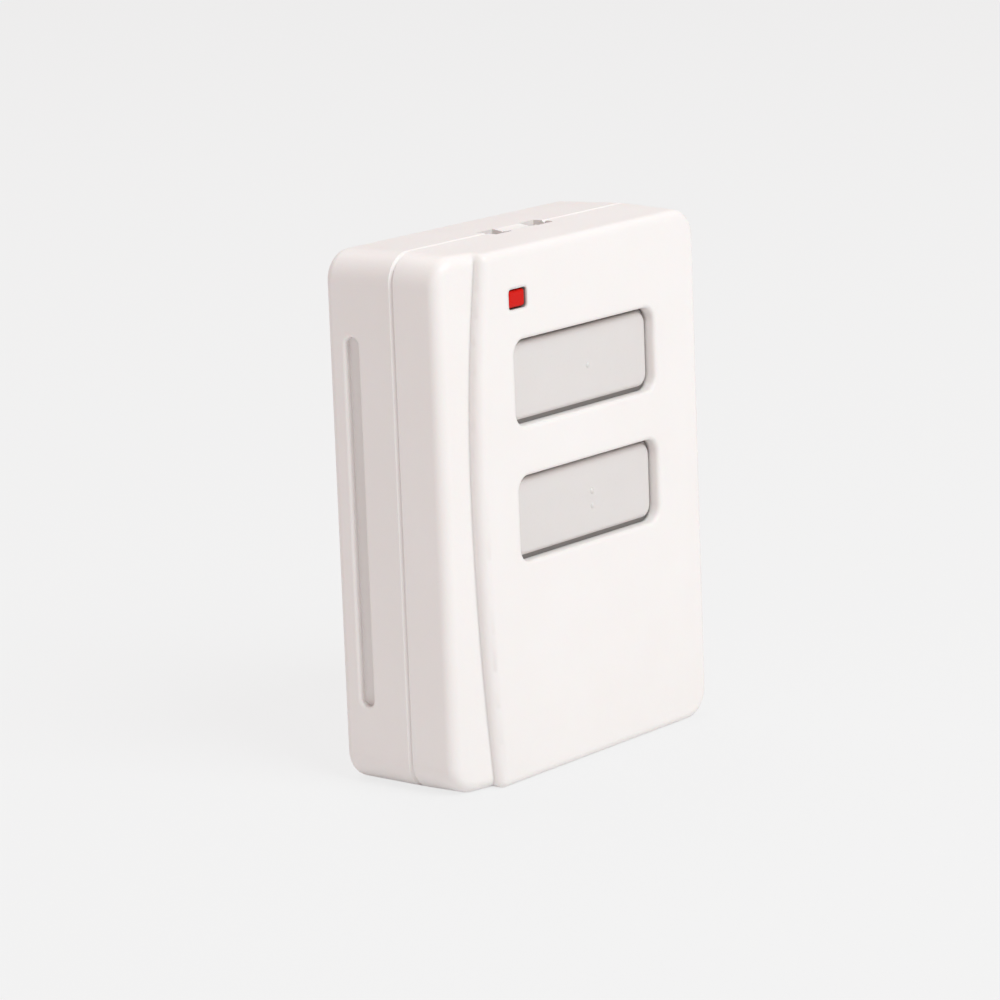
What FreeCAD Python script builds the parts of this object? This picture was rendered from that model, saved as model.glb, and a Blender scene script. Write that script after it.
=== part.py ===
import FreeCAD, Part
import math
import os
import Sketcher

# Wireless panic button: a two-key transmitter that stands on its flat lower face.
# Frame, in millimetres: +Z up, the front faces -Y, +X is to the right seen from the front.
# The origin is the middle of the lower face. "Forward" below is the distance towards the front, so
# a forward value is minus the Y coordinate.

doc = FreeCAD.newDocument("PanicButton")
sheet = doc.addObject("Spreadsheet::Sheet", "Sizes")
SIZES = {
    # Housing shells.
    "HousingHeight": 76.2,
    "HousingWidth": 57.2,
    "FrontDepth": 10.5,
    "RearDepth": 12.4,
    "OutlineRadius": 4.3,
    "FrontDraft": 0.4,
    "RearDraft": 0.4,
    "FaceWall": 2.0,
    "SideWall": 2.0,
    "BackWall": 2.0,
    "CavityRadius": 3.0,
    "FaceEdgeRadius": 1.2,
    "BackEdgeRadius": 1.6,
    "SeamChamfer": 0.4,
    "LipHeight": 1.0,
    "LipThickness": 0.9,
    "LipClearance": 0.1,
    # Side band beside the bowed step of the face.
    "BandStep": 1.95,
    "BandFall": 1.05,
    "BandWidth": 5.2,
    "BandReach": 9.6,
    "BandEdgeRadius": 1.8,
    "StepRadius": 1.4,
    "BowHeight": 44.0,
    "UpperBowRadius": 230.0,
    "LowerBowRadius": 430.0,
    "BandInnerWidth": 9.8,
    # Keys.
    "KeyWidth": 32.1,
    "KeyHeight": 11.05,
    "KeyRadius": 1.9,
    "KeyEndGap": 0.3,
    "KeySlitGap": 0.6,
    "KeyRecess": 1.3,
    "KeyEdgeRadius": 0.8,
    "KeyOffset": 1.4,
    "LowerKeyHeight": 37.4,
    "KeyPitch": 19.3,
    "KeyTravel": 0.5,
    "KeySkin": 1.1,
    "KeyWall": 1.2,
    "FlangeRim": 1.3,
    "FlangeThickness": 1.1,
    "FlangeGap": 0.3,
    "WellEdgeRadius": 0.5,
    "CollarWall": 1.1,
    "CollarDepth": 2.6,
    "CollarGap": 0.3,
    "KeyPostRadius": 2.2,
    # Light window.
    "WindowWidth": 4.1,
    "WindowHeight": 2.9,
    "WindowRadius": 0.5,
    "WindowOffset": 13.8,
    "WindowUp": 68.7,
    "LensGap": 0.2,
    "LensRecess": 0.2,
    "LensEdgeRadius": 0.4,
    "LensFlangeRim": 1.0,
    "LensFlangeThickness": 0.8,
    # Circuit board.
    "BoardWidth": 51.2,
    "BoardBottom": 22.6,
    "BoardTopGap": 2.0,
    "BoardThickness": 1.6,
    "BoardRadius": 2.5,
    "BoardDepth": 8.3,
    "BoardPostRadius": 2.3,
    "BoardPilotDepth": 4.0,
    "BoardHoleRadius": 1.15,
    "BoardScrewAcross": 22.6,
    "BoardScrewLow": 25.6,
    "BoardScrewHigh": 69.0,
    "BoardScrewShank": 0.95,
    "BoardScrewHead": 1.8,
    "BoardScrewHeadHeight": 1.3,
    "BoardScrewLength": 5.0,
    "ThreadGap": 0.05,
    # Tactile switches.
    "SwitchWidth": 6.0,
    "SwitchBodyHeight": 3.2,
    "SwitchCoverThickness": 0.3,
    "SwitchCoverBore": 1.78,
    "SwitchCavityRadius": 2.3,
    "SwitchFloor": 0.4,
    "PlungerRadius": 1.7,
    "PlungerRise": 0.8,
    "PlungerCollarRadius": 2.0,
    "PlungerCollarThickness": 0.9,
    "PlungerCollarGap": 0.3,
    "PlungerFloorGap": 0.4,
    "TerminalThickness": 0.3,
    "TerminalWidth": 0.7,
    "TerminalPitch": 4.5,
    "TerminalRise": 1.4,
    "TerminalTail": 1.1,
    "TerminalHoleRadius": 0.5,
    # Battery and its contacts.
    "BatteryRadius": 8.5,
    "BatteryLength": 34.5,
    "BatteryNubRadius": 3.2,
    "BatteryNubHeight": 1.0,
    "BatteryEdgeRadius": 0.8,
    "BatteryUp": 11.7,
    "BatteryForward": -0.65,
    "CradleGap": 0.12,
    "CradleAcross": 11.0,
    "CradleThickness": 1.4,
    "CradleTop": 22.0,
    "ContactWidth": 7.0,
    "ContactThickness": 0.4,
    "ContactSpace": 1.75,
    "ContactFoot": 4.6,
    "ContactTailWidth": 2.8,
    "ContactTailRise": 2.8,
    "ContactSlotGap": 0.2,
    "StopThickness": 1.3,
    "StopHeight": 20.0,
    # Housing screws.
    "ScrewAcross": 22.9,
    "ScrewUp": 7.0,
    "ScrewShank": 1.25,
    "ScrewHead": 2.2,
    "ScrewHeadHeight": 1.6,
    "ScrewLength": 13.2,
    "ScrewPilotDepth": 4.6,
    "ScrewClearRadius": 1.45,
    "ScrewHeadWell": 2.5,
    "ScrewHeadWellDepth": 2.4,
    "FrontBossRadius": 2.8,
    "RearBossRadius": 3.3,
    "BossGap": 0.1,
    # Snap tongues.
    "TongueAcross": 17.0,
    "TongueWidth": 6.0,
    "TongueThickness": 1.2,
    "TongueLength": 3.6,
    "TongueGap": 0.3,
    "CatchHeight": 0.6,
    "CatchLength": 1.4,
    "CatchGap": 0.2,
    # Lanyard eye.
    "EyeOffset": -0.4,
    "EyeAcross": 4.8,
    "EyeWidth": 3.6,
    "EyeFront": 1.7,
    "EyeRear": 1.9,
    "EyeTunnelDepth": 6.0,
    "EyeRoof": 2.2,
    "EyeWall": 1.2,
    "EyeGap": 0.5,
    "ScoopDepth": 0.35,
    "ScoopRadius": 5.0,
    "ScoopBow": 45.0,
    # Clip grooves in the rear shell's sides.
    "GrooveWidth": 2.4,
    "GrooveDepth": 1.3,
    "GrooveBottom": 11.3,
    "GrooveTop": 64.1,
    "GrooveForward": -6.8,
    "GrooveEdgeRadius": 0.45,
    # Parts on the circuit board.
    "ChipLength": 12.8,
    "ChipWidth": 7.5,
    "ChipHeight": 2.3,
    "ChipStandoff": 0.15,
    "ChipAcross": -10.0,
    "ChipUp": 52.0,
    "LeadPitch": 1.27,
    "LeadWidth": 0.42,
    "LeadThickness": 0.25,
    "LeadReach": 1.4,
    "LeadCount": 10,
    "CanRadius": 4.1,
    "CanFlangeRadius": 4.6,
    "CanFlangeThickness": 0.5,
    "CanHeight": 3.3,
    "CanEdgeRadius": 0.6,
    "CanAcross": 11.0,
    "CanUp": 56.0,
    "CrystalLength": 11.2,
    "CrystalWidth": 4.7,
    "CrystalHeight": 3.5,
    "CrystalAcross": -9.0,
    "CrystalUp": 40.0,
    "TrimmerSize": 5.0,
    "TrimmerHeight": 2.6,
    "TrimmerRotorRadius": 1.9,
    "TrimmerRotorHeight": 0.5,
    "TrimmerSlotWidth": 0.6,
    "TrimmerSlotDepth": 0.35,
    "TrimmerAcross": 19.0,
    "TrimmerUp": 45.0,
    "StoreRadius": 3.15,
    "StoreHeight": 7.7,
    "StoreGrooveUp": 1.6,
    "StoreGrooveDepth": 0.3,
    "StoreAcross": 11.0,
    "StoreUp": 34.0,
    "DriverWidth": 4.6,
    "DriverDepth": 3.6,
    "DriverHeight": 4.6,
    "DriverAcross": 19.5,
    "DriverUp": 57.0,
    "AerialWire": 0.5,
    "AerialSpan": 34.0,
    "AerialRise": 6.0,
    "AerialBend": 2.0,
    "AerialUp": 64.6,
    "AerialTail": 1.0,
    "LampRadius": 1.5,
    "LampFlangeRadius": 1.9,
    "LampFlangeThickness": 1.0,
    "LampLength": 5.2,
    "LampLegSpacing": 2.54,
    "LampLegWidth": 0.5,
    "LampLegTail": 1.0,
    "ResistorLength": 2.0,
    "ResistorWidth": 1.25,
    "ResistorHeight": 0.5,
    "CapacitorLength": 2.0,
    "CapacitorWidth": 1.3,
    "CapacitorHeight": 1.1,
    "SmallPartPitch": 3.0,
    "SmallPartAcross": -20.6,
    "ResistorUp": 31.0,
    "CapacitorAcross": 20.6,
    "CapacitorUp": 30.5,
    "ResistorCount": 8,
    "CapacitorCount": 4,
}
for row, (alias, value) in enumerate(SIZES.items(), start=1):
    sheet.set("A%d" % row, alias)
    sheet.set("B%d" % row, str(value))
    sheet.setAlias("B%d" % row, alias)
doc.recompute()


def number(expression):
    """The value that an expression on the sheet has now."""
    return float(sheet.evalExpression(expression))


# Planes and places that several pieces share, as expressions on the sheet.
FRONT = "(Sizes.FrontDepth + Sizes.RearDepth) / 2"
BACK = "-(Sizes.FrontDepth + Sizes.RearDepth) / 2"
SEAM = "(Sizes.RearDepth - Sizes.FrontDepth) / 2"
HALF_WIDTH = "Sizes.HousingWidth / 2"
INNER_FACE = FRONT + " - Sizes.FaceWall"
BAND_INNER_FACE = FRONT + " - Sizes.BandStep - Sizes.BandFall - Sizes.FaceWall"
INNER_BACK = BACK + " + Sizes.BackWall"
BOARD_FRONT = FRONT + " - Sizes.BoardDepth"
BOARD_REAR = BOARD_FRONT + " - Sizes.BoardThickness"
KEY_HEIGHTS = {
    "upper": "Sizes.LowerKeyHeight + Sizes.KeyPitch",
    "lower": "Sizes.LowerKeyHeight",
}
SWITCH_TOP = BOARD_FRONT + " + Sizes.SwitchBodyHeight + Sizes.SwitchCoverThickness"
PLUNGER_TOP = SWITCH_TOP + " + Sizes.PlungerRise"
BATTERY_END = "Sizes.BatteryLength / 2"
CONTACT_FACE = BATTERY_END + " + Sizes.ContactSpace"
EYE_FLOOR = "Sizes.HousingHeight - Sizes.EyeTunnelDepth"


def new_body(label):
    """A named body; its own sketches sit on its own origin planes."""
    body = doc.addObject("PartDesign::Body", label)
    body.Label = label
    return body


def add_sketch(body, plane, name, x="0", y="0", z="0"):
    """A sketch on one of the body's origin planes, set off from it by three expressions."""
    sketch = body.newObject("Sketcher::SketchObject", name)
    for feature in body.Origin.OriginFeatures:
        if feature.Role == plane:
            sketch.AttachmentSupport = [(feature, "")]
    sketch.MapMode = "FlatFace"
    sketch.setExpression("AttachmentOffset.Base.x", x)
    sketch.setExpression("AttachmentOffset.Base.y", y)
    sketch.setExpression("AttachmentOffset.Base.z", z)
    return sketch


def bind(sketch, name, constraint, expression):
    """Add a dimension to a sketch and bind it to an expression."""
    index = sketch.addConstraint(constraint)
    sketch.renameConstraint(index, name)
    sketch.setExpression("Constraints." + name, expression)


def pin(sketch, name, geometry, point, across, up):
    """Hold a sketch point at two expressions from the sketch's origin."""
    bind(sketch, name + "Across",
         Sketcher.Constraint("DistanceX", -1, 1, geometry, point, number(across)), across)
    bind(sketch, name + "Up",
         Sketcher.Constraint("DistanceY", -1, 1, geometry, point, number(up)), up)


def polygon(sketch, points):
    """A closed outline of straight lines; each corner is pinned at its two expressions."""
    corners = [FreeCAD.Vector(number(across), number(up), 0) for across, up in points]
    count = len(points)
    first = sketch.GeometryCount
    for index in range(count):
        sketch.addGeometry(Part.LineSegment(corners[index], corners[(index + 1) % count]), False)
    for index in range(count):
        following = first + (index + 1) % count
        sketch.addConstraint(Sketcher.Constraint("Coincident", first + index, 2, following, 1))
    for index, (across, up) in enumerate(points):
        pin(sketch, "Corner%d" % (first + index), first + index, 1, across, up)


def rectangle(sketch, left, right, low, high):
    """A rectangle between four expressions."""
    polygon(sketch, [(left, low), (right, low), (right, high), (left, high)])


def centred_rectangle(sketch, across, up, width, height):
    """A rectangle of a width and height about a centre."""
    rectangle(sketch, "%s - (%s) / 2" % (across, width), "%s + (%s) / 2" % (across, width),
              "%s - (%s) / 2" % (up, height), "%s + (%s) / 2" % (up, height))


def rounded_rectangle(sketch, left, right, low, high, radius):
    """A rectangle between four expressions with round corners; lines and arcs meet tangentially."""
    inset = number(radius)
    sides = [number(left), number(right), number(low), number(high)]
    first = sketch.GeometryCount
    centres = [(right, high, 0), (left, high, 90), (left, low, 180), (right, low, 270)]
    for across, up, start in centres:
        x = number(across) + (inset if across == left else -inset)
        y = number(up) + (inset if up == low else -inset)
        round_corner = Part.Circle(FreeCAD.Vector(x, y, 0), FreeCAD.Vector(0, 0, 1), inset)
        sketch.addGeometry(
            Part.ArcOfCircle(round_corner, math.radians(start), math.radians(start + 90)), False)
    ends = [
        ((sides[1] - inset, sides[3]), (sides[0] + inset, sides[3])),
        ((sides[0], sides[3] - inset), (sides[0], sides[2] + inset)),
        ((sides[0] + inset, sides[2]), (sides[1] - inset, sides[2])),
        ((sides[1], sides[2] + inset), (sides[1], sides[3] - inset)),
    ]
    for start, end in ends:
        sketch.addGeometry(
            Part.LineSegment(FreeCAD.Vector(*start, 0), FreeCAD.Vector(*end, 0)), False)
    for corner, (across, up, start) in enumerate(centres):
        arc = first + corner
        line = first + 4 + corner
        next_arc = first + (corner + 1) % 4
        sketch.addConstraint(Sketcher.Constraint("Tangent", arc, 2, line, 1))
        sketch.addConstraint(Sketcher.Constraint("Tangent", line, 2, next_arc, 1))
        side_in = " + " if across == left else " - "
        level_in = " + " if up == low else " - "
        pin(sketch, "Round%d" % arc, arc, 3, across + side_in + radius, up + level_in + radius)
        bind(sketch, "Radius%d" % arc, Sketcher.Constraint("Radius", arc, inset), radius)


def circle(sketch, across, up, radius):
    """A circle about a centre."""
    centre = FreeCAD.Vector(number(across), number(up), 0)
    index = sketch.addGeometry(
        Part.Circle(centre, FreeCAD.Vector(0, 0, 1), number(radius)), False)
    pin(sketch, "Centre%d" % index, index, 3, across, up)
    bind(sketch, "Radius%d" % index, Sketcher.Constraint("Radius", index, number(radius)), radius)


def pad(body, sketch, name, length, towards_rear=False, midplane=False):
    """Add the sketch's area, carried along its normal."""
    feature = body.newObject("PartDesign::Pad", name)
    feature.Profile = sketch
    feature.setExpression("Length", length)
    feature.Reversed = towards_rear
    feature.Midplane = midplane
    feature.Refine = False
    return feature


def pocket(body, sketch, name, length, along_normal=False, midplane=False):
    """Cut the sketch's area, carried against its normal, or along it."""
    feature = body.newObject("PartDesign::Pocket", name)
    feature.Profile = sketch
    feature.setExpression("Length", length)
    feature.Reversed = along_normal
    feature.Midplane = midplane
    feature.Refine = False
    return feature


def block(body, name, across, up, width, height, rear, front):
    """Add a rectangular block between two forward values."""
    sketch = add_sketch(body, "XZ_Plane", name + "Sketch", z=rear)
    centred_rectangle(sketch, across, up, width, height)
    return pad(body, sketch, name, "%s - (%s)" % (front, rear))


def cut_block(body, name, across, up, width, height, rear, front):
    """Cut a rectangular block between two forward values."""
    sketch = add_sketch(body, "XZ_Plane", name + "Sketch", z=front)
    centred_rectangle(sketch, across, up, width, height)
    return pocket(body, sketch, name, "%s - (%s)" % (front, rear))


def stud(body, name, across, up, radius, rear, front):
    """Add a round post between two forward values."""
    sketch = add_sketch(body, "XZ_Plane", name + "Sketch", z=rear)
    circle(sketch, across, up, radius)
    return pad(body, sketch, name, "%s - (%s)" % (front, rear))


def bore(body, name, across, up, radius, rear, front):
    """Cut a round hole between two forward values."""
    sketch = add_sketch(body, "XZ_Plane", name + "Sketch", z=front)
    circle(sketch, across, up, radius)
    return pocket(body, sketch, name, "%s - (%s)" % (front, rear))


def turned(body, name, across, up, profile):
    """Revolve a profile of (radius, forward) corners about an axis that runs front to back."""
    sketch = add_sketch(body, "XY_Plane", name + "Sketch", x=across, z=up)
    polygon(sketch, [(radius, "-(%s)" % forward) for radius, forward in profile])
    feature = body.newObject("PartDesign::Revolution", name)
    feature.Profile = sketch
    feature.ReferenceAxis = (sketch, ["V_Axis"])
    feature.Angle = 360
    return feature


def edges_where(feature, test):
    """Names of the feature's edges whose middle point and ends pass a test."""
    doc.recompute()
    names = []
    for index, edge in enumerate(feature.Shape.Edges, start=1):
        if test(edge):
            names.append("Edge%d" % index)
    return names


def middle(edge):
    """The point half-way along an edge, as (x, forward, z)."""
    point = edge.valueAt((edge.FirstParameter + edge.LastParameter) / 2)
    return point.x, -point.y, point.z


def span(edge):
    """How far an edge reaches along x, forward and z."""
    box = edge.BoundBox
    return box.XLength, box.YLength, box.ZLength


def dress(body, kind, name, base, edges, size_name, expression):
    """Fillet or chamfer the named edges of a feature by an expression."""
    feature = body.newObject("PartDesign::" + kind, name)
    feature.Base = (base, edges)
    feature.setExpression(size_name, expression)
    return feature


def fillet(body, name, base, edges, radius):
    return dress(body, "Fillet", name, base, edges, "Radius", radius)


def chamfer(body, name, base, edges, size):
    return dress(body, "Chamfer", name, base, edges, "Size", size)


def near(value, expression):
    """Whether a value is at an expression's value."""
    return round(value - number(expression), 1) == 0


def upright(edge):
    """Whether an edge stays at one forward value."""
    return round(span(edge)[1], 1) == 0


def shell_block(body, rear_plane, rear_inset, front_plane, front_inset):
    """A shell's outer block with flat faces, its four corners rounded and its seam edge broken.

    The sides and the top lean in by the insets; the lower face stays level, for it stands on that.
    """
    plan = add_sketch(body, "XY_Plane", "PlanSketch")
    polygon(plan, [
        ("-(%s - %s)" % (HALF_WIDTH, rear_inset), "-(%s)" % rear_plane),
        ("%s - %s" % (HALF_WIDTH, rear_inset), "-(%s)" % rear_plane),
        ("%s - %s" % (HALF_WIDTH, front_inset), "-(%s)" % front_plane),
        ("-(%s - %s)" % (HALF_WIDTH, front_inset), "-(%s)" % front_plane),
    ])
    pad(body, plan, "OuterBlock", "Sizes.HousingHeight + 1")
    slope = add_sketch(body, "YZ_Plane", "TopSlopeSketch")
    polygon(slope, [
        ("-(%s)" % rear_plane, "Sizes.HousingHeight - %s" % rear_inset),
        ("-(%s)" % front_plane, "Sizes.HousingHeight - %s" % front_inset),
        ("-(%s)" % front_plane, "Sizes.HousingHeight + 2"),
        ("-(%s)" % rear_plane, "Sizes.HousingHeight + 2"),
    ])
    sloped = pocket(body, slope, "TopSlope", "2 * Sizes.HousingWidth", midplane=True)
    corners = edges_where(sloped, lambda edge: not upright(edge))
    rounded = fillet(body, "OutlineCorners", sloped, corners, "Sizes.OutlineRadius")
    seam_edges = edges_where(rounded, lambda edge: near(middle(edge)[1], SEAM) and upright(edge))
    return chamfer(body, "SeamEdge", rounded, seam_edges, "Sizes.SeamChamfer")


def well(body, name, left, right, low, high, radius, rear, front):
    """Cut a hollow with round corners between two forward values."""
    sketch = add_sketch(body, "XZ_Plane", name + "Sketch", z=front)
    rounded_rectangle(sketch, left, right, low, high, radius)
    return pocket(body, sketch, name, "%s - (%s)" % (front, rear))


def scoop_eye(body, name):
    """The lanyard eye's scoop: a barrel cut that is deepest at the middle of the top."""
    sketch = add_sketch(body, "XZ_Plane", name + "Sketch", x="Sizes.EyeOffset", z=SEAM,
                        y="Sizes.HousingHeight - Sizes.ScoopDepth + Sizes.ScoopRadius")
    depth = number("Sizes.ScoopRadius")
    bow = number("Sizes.ScoopBow")
    reach = math.sqrt(2 * bow * number("Sizes.ScoopDepth")) + 1.0
    ends = -depth + bow - math.sqrt(bow ** 2 - reach ** 2)
    centre = FreeCAD.Vector(0, bow - depth, 0)
    low = -math.pi / 2
    swing = math.asin(reach / bow)
    arc = Part.ArcOfCircle(Part.Circle(centre, FreeCAD.Vector(0, 0, 1), bow), low - swing, low + swing)
    bottom = sketch.addGeometry(arc, False)
    right = sketch.addGeometry(
        Part.LineSegment(FreeCAD.Vector(reach, ends, 0), FreeCAD.Vector(reach, 0, 0)), False)
    axis = sketch.addGeometry(
        Part.LineSegment(FreeCAD.Vector(reach, 0, 0), FreeCAD.Vector(-reach, 0, 0)), False)
    left = sketch.addGeometry(
        Part.LineSegment(FreeCAD.Vector(-reach, 0, 0), FreeCAD.Vector(-reach, ends, 0)), False)
    for one, other in ((bottom, right), (right, axis), (axis, left), (left, bottom)):
        sketch.addConstraint(Sketcher.Constraint("Coincident", one, 2, other, 1))
    sketch.addConstraint(Sketcher.Constraint("Vertical", right))
    sketch.addConstraint(Sketcher.Constraint("Vertical", left))
    pin(sketch, "BowCentre", bottom, 3, "0", "Sizes.ScoopBow - Sizes.ScoopRadius")
    bind(sketch, "Bow", Sketcher.Constraint("Radius", bottom, bow), "Sizes.ScoopBow")
    half_reach = "sqrt(2 * Sizes.ScoopBow * Sizes.ScoopDepth) + 1"
    pin(sketch, "AxisEnd", axis, 1, half_reach, "0")
    pin(sketch, "AxisStart", axis, 2, "-(%s)" % half_reach, "0")
    groove = body.newObject("PartDesign::Groove", name)
    groove.Profile = sketch
    groove.ReferenceAxis = (sketch, ["H_Axis"])
    groove.Angle = 360
    return groove


# The front shell, moulded in white plastic. Its face is a plateau with a bowed left edge; beside that
# edge the side band lies lower and leans away towards the side. Behind the face are the collars that
# guide the keys, the posts that carry the circuit board and the bosses of the housing screws.

side_band = new_body("side_band")
shell_block(side_band, SEAM, "0", FRONT, "Sizes.FrontDraft")
band_plan = add_sketch(side_band, "XY_Plane", "BandPlanSketch")
BAND_LEVEL = FRONT + " - Sizes.BandStep"
band_slope_end = "-%s + Sizes.BandReach" % HALF_WIDTH
BAND_SLOPE = "Sizes.BandFall / Sizes.BandWidth"
polygon(band_plan, [
    ("-%s - 5" % HALF_WIDTH, "-(%s - Sizes.BandFall - 5 * %s)" % (BAND_LEVEL, BAND_SLOPE)),
    (band_slope_end, "-(%s - Sizes.BandFall + Sizes.BandReach * %s)" % (BAND_LEVEL, BAND_SLOPE)),
    (band_slope_end, "-(%s) + 5" % SEAM),
    (HALF_WIDTH + " + 5", "-(%s) + 5" % SEAM),
    (HALF_WIDTH + " + 5", "-(%s) - 5" % FRONT),
    ("-%s - 5" % HALF_WIDTH, "-(%s) - 5" % FRONT),
])
band_cut = pocket(side_band, band_plan, "BandSlope", "2 * Sizes.HousingHeight + 10", midplane=True)


def on_band_rim(edge):
    """An edge where the band's sloping front meets the sides or the rounded corners."""
    x, forward, z = middle(edge)
    slope_level = number(BAND_LEVEL) - number("Sizes.BandFall")
    slope_level += (x + number(HALF_WIDTH)) * number(BAND_SLOPE)
    return round(forward - slope_level) == 0 and round(number(band_slope_end) - x, 1) > 0


band_round = fillet(side_band, "BandEdge", band_cut, edges_where(band_cut, on_band_rim),
                    "Sizes.BandEdgeRadius")

front = new_body("front_cover")
front_block = shell_block(front, SEAM, "0", FRONT, "Sizes.FrontDraft")
face_rim = edges_where(
    front_block, lambda edge: near(middle(edge)[1], FRONT) and upright(edge))
face_round = fillet(front, "FaceEdge", front_block, face_rim, "Sizes.FaceEdgeRadius")
bow = add_sketch(front, "XZ_Plane", "BowSketch", z=FRONT + " + 1")
BOW_EDGE = "-%s + Sizes.BandWidth" % HALF_WIDTH
OVERRUN = "3"


def bow_outline(sketch):
    """The area left of the face's bowed edge: two arcs that meet tangentially at the bow's height."""
    edge = number(BOW_EDGE)
    height = number("Sizes.BowHeight")
    top = number("Sizes.HousingHeight") + float(OVERRUN)
    bottom = -float(OVERRUN)
    far = -number(HALF_WIDTH) - float(OVERRUN)
    radii = (number("Sizes.UpperBowRadius"), number("Sizes.LowerBowRadius"))
    swings = (math.asin((top - height) / radii[0]), math.asin((height - bottom) / radii[1]))
    arcs = []
    for radius, first, last in ((radii[0], math.pi - swings[0], math.pi),
                                (radii[1], math.pi, math.pi + swings[1])):
        centre = FreeCAD.Vector(edge + radius, height, 0)
        whole = Part.Circle(centre, FreeCAD.Vector(0, 0, 1), radius)
        arcs.append(sketch.addGeometry(Part.ArcOfCircle(whole, first, last), False))
    top_x = edge + radii[0] * (1 - math.cos(swings[0]))
    bottom_x = edge + radii[1] * (1 - math.cos(swings[1]))
    corners = [(bottom_x, bottom), (far, bottom), (far, top), (top_x, top)]
    lines = []
    for start, end in zip(corners, corners[1:]):
        lines.append(sketch.addGeometry(
            Part.LineSegment(FreeCAD.Vector(*start, 0), FreeCAD.Vector(*end, 0)), False))
    upper, lower = arcs
    sketch.addConstraint(Sketcher.Constraint("Tangent", upper, 2, lower, 1))
    chain = [lower] + lines + [upper]
    for one, other in zip(chain, chain[1:]):
        sketch.addConstraint(Sketcher.Constraint("Coincident", one, 2, other, 1))
    sketch.addConstraint(Sketcher.Constraint("Horizontal", lines[0]))
    sketch.addConstraint(Sketcher.Constraint("Vertical", lines[1]))
    sketch.addConstraint(Sketcher.Constraint("Horizontal", lines[2]))
    pin(sketch, "FarLow", lines[0], 2, "-%s - %s" % (HALF_WIDTH, OVERRUN), "-" + OVERRUN)
    bind(sketch, "FarHigh", Sketcher.Constraint("DistanceY", -1, 1, lines[1], 2, top),
         "Sizes.HousingHeight + " + OVERRUN)
    pin(sketch, "LowerCentre", lower, 3, "%s + Sizes.LowerBowRadius" % BOW_EDGE, "Sizes.BowHeight")
    bind(sketch, "LowerBow", Sketcher.Constraint("Radius", lower, radii[1]), "Sizes.LowerBowRadius")
    bind(sketch, "UpperBow", Sketcher.Constraint("Radius", upper, radii[0]), "Sizes.UpperBowRadius")
    bind(sketch, "BowMiddle", Sketcher.Constraint("DistanceY", -1, 1, upper, 2, height),
         "Sizes.BowHeight")


bow_outline(bow)
plateau = pocket(front, bow, "BowedEdge", "Sizes.FrontDepth + Sizes.RearDepth")
step_rim = edges_where(
    plateau, lambda edge: near(middle(edge)[1], FRONT) and upright(edge)
    and middle(edge)[0] < number(BOW_EDGE) + 2 * number("Sizes.StepRadius"))
step_round = fillet(front, "StepEdge", plateau, step_rim, "Sizes.StepRadius")
join = front.newObject("PartDesign::Boolean", "JoinSideBand")
join.Type = "Fuse"
join.Group = [side_band]

INNER_SIDE = "%s - Sizes.SideWall" % HALF_WIDTH
INNER_TOP = "Sizes.HousingHeight - Sizes.SideWall"
ROOT = "0.5"
well(front, "BandCavity", "-(%s)" % INNER_SIDE, INNER_SIDE, "Sizes.SideWall", INNER_TOP,
     "Sizes.CavityRadius", SEAM, BAND_INNER_FACE)
well(front, "FaceCavity", "-%s + Sizes.BandInnerWidth" % HALF_WIDTH, INNER_SIDE, "Sizes.SideWall",
     INNER_TOP, "Sizes.CavityRadius", SEAM, INNER_FACE)

# The collars that guide the keys' flanges, the two wells and the light window.
FLANGE_WIDTH = "Sizes.KeyWidth + 2 * Sizes.FlangeRim"
FLANGE_HEIGHT = "Sizes.KeyHeight + 2 * Sizes.FlangeRim"
collars = add_sketch(front, "XZ_Plane", "CollarSketch", z=INNER_FACE + " - Sizes.CollarDepth")
openings = add_sketch(front, "XZ_Plane", "OpeningSketch", z=FRONT + " + 1")
for height in KEY_HEIGHTS.values():
    hollow_width = FLANGE_WIDTH + " + 2 * Sizes.CollarGap"
    hollow_height = FLANGE_HEIGHT + " + 2 * Sizes.CollarGap"
    centred_rectangle(collars, "Sizes.KeyOffset", height, hollow_width + " + 2 * Sizes.CollarWall",
                      hollow_height + " + 2 * Sizes.CollarWall")
    centred_rectangle(collars, "Sizes.KeyOffset", height, hollow_width, hollow_height)
    half_width = "(Sizes.KeyWidth / 2 + Sizes.KeyEndGap)"
    half_height = "(Sizes.KeyHeight / 2 + Sizes.KeySlitGap)"
    rounded_rectangle(openings, "Sizes.KeyOffset - " + half_width,
                      "Sizes.KeyOffset + " + half_width, "%s - %s" % (height, half_height),
                      "%s + %s" % (height, half_height), "(Sizes.KeyRadius + Sizes.KeyEndGap)")
rounded_rectangle(openings, "-Sizes.WindowOffset - Sizes.WindowWidth / 2",
                  "-Sizes.WindowOffset + Sizes.WindowWidth / 2",
                  "Sizes.WindowUp - Sizes.WindowHeight / 2",
                  "Sizes.WindowUp + Sizes.WindowHeight / 2", "Sizes.WindowRadius")
pad(front, collars, "Collars", "Sizes.CollarDepth + %s" % ROOT)
pocket(front, openings, "Openings", "Sizes.FaceWall + 1 + %s" % ROOT)

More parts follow.
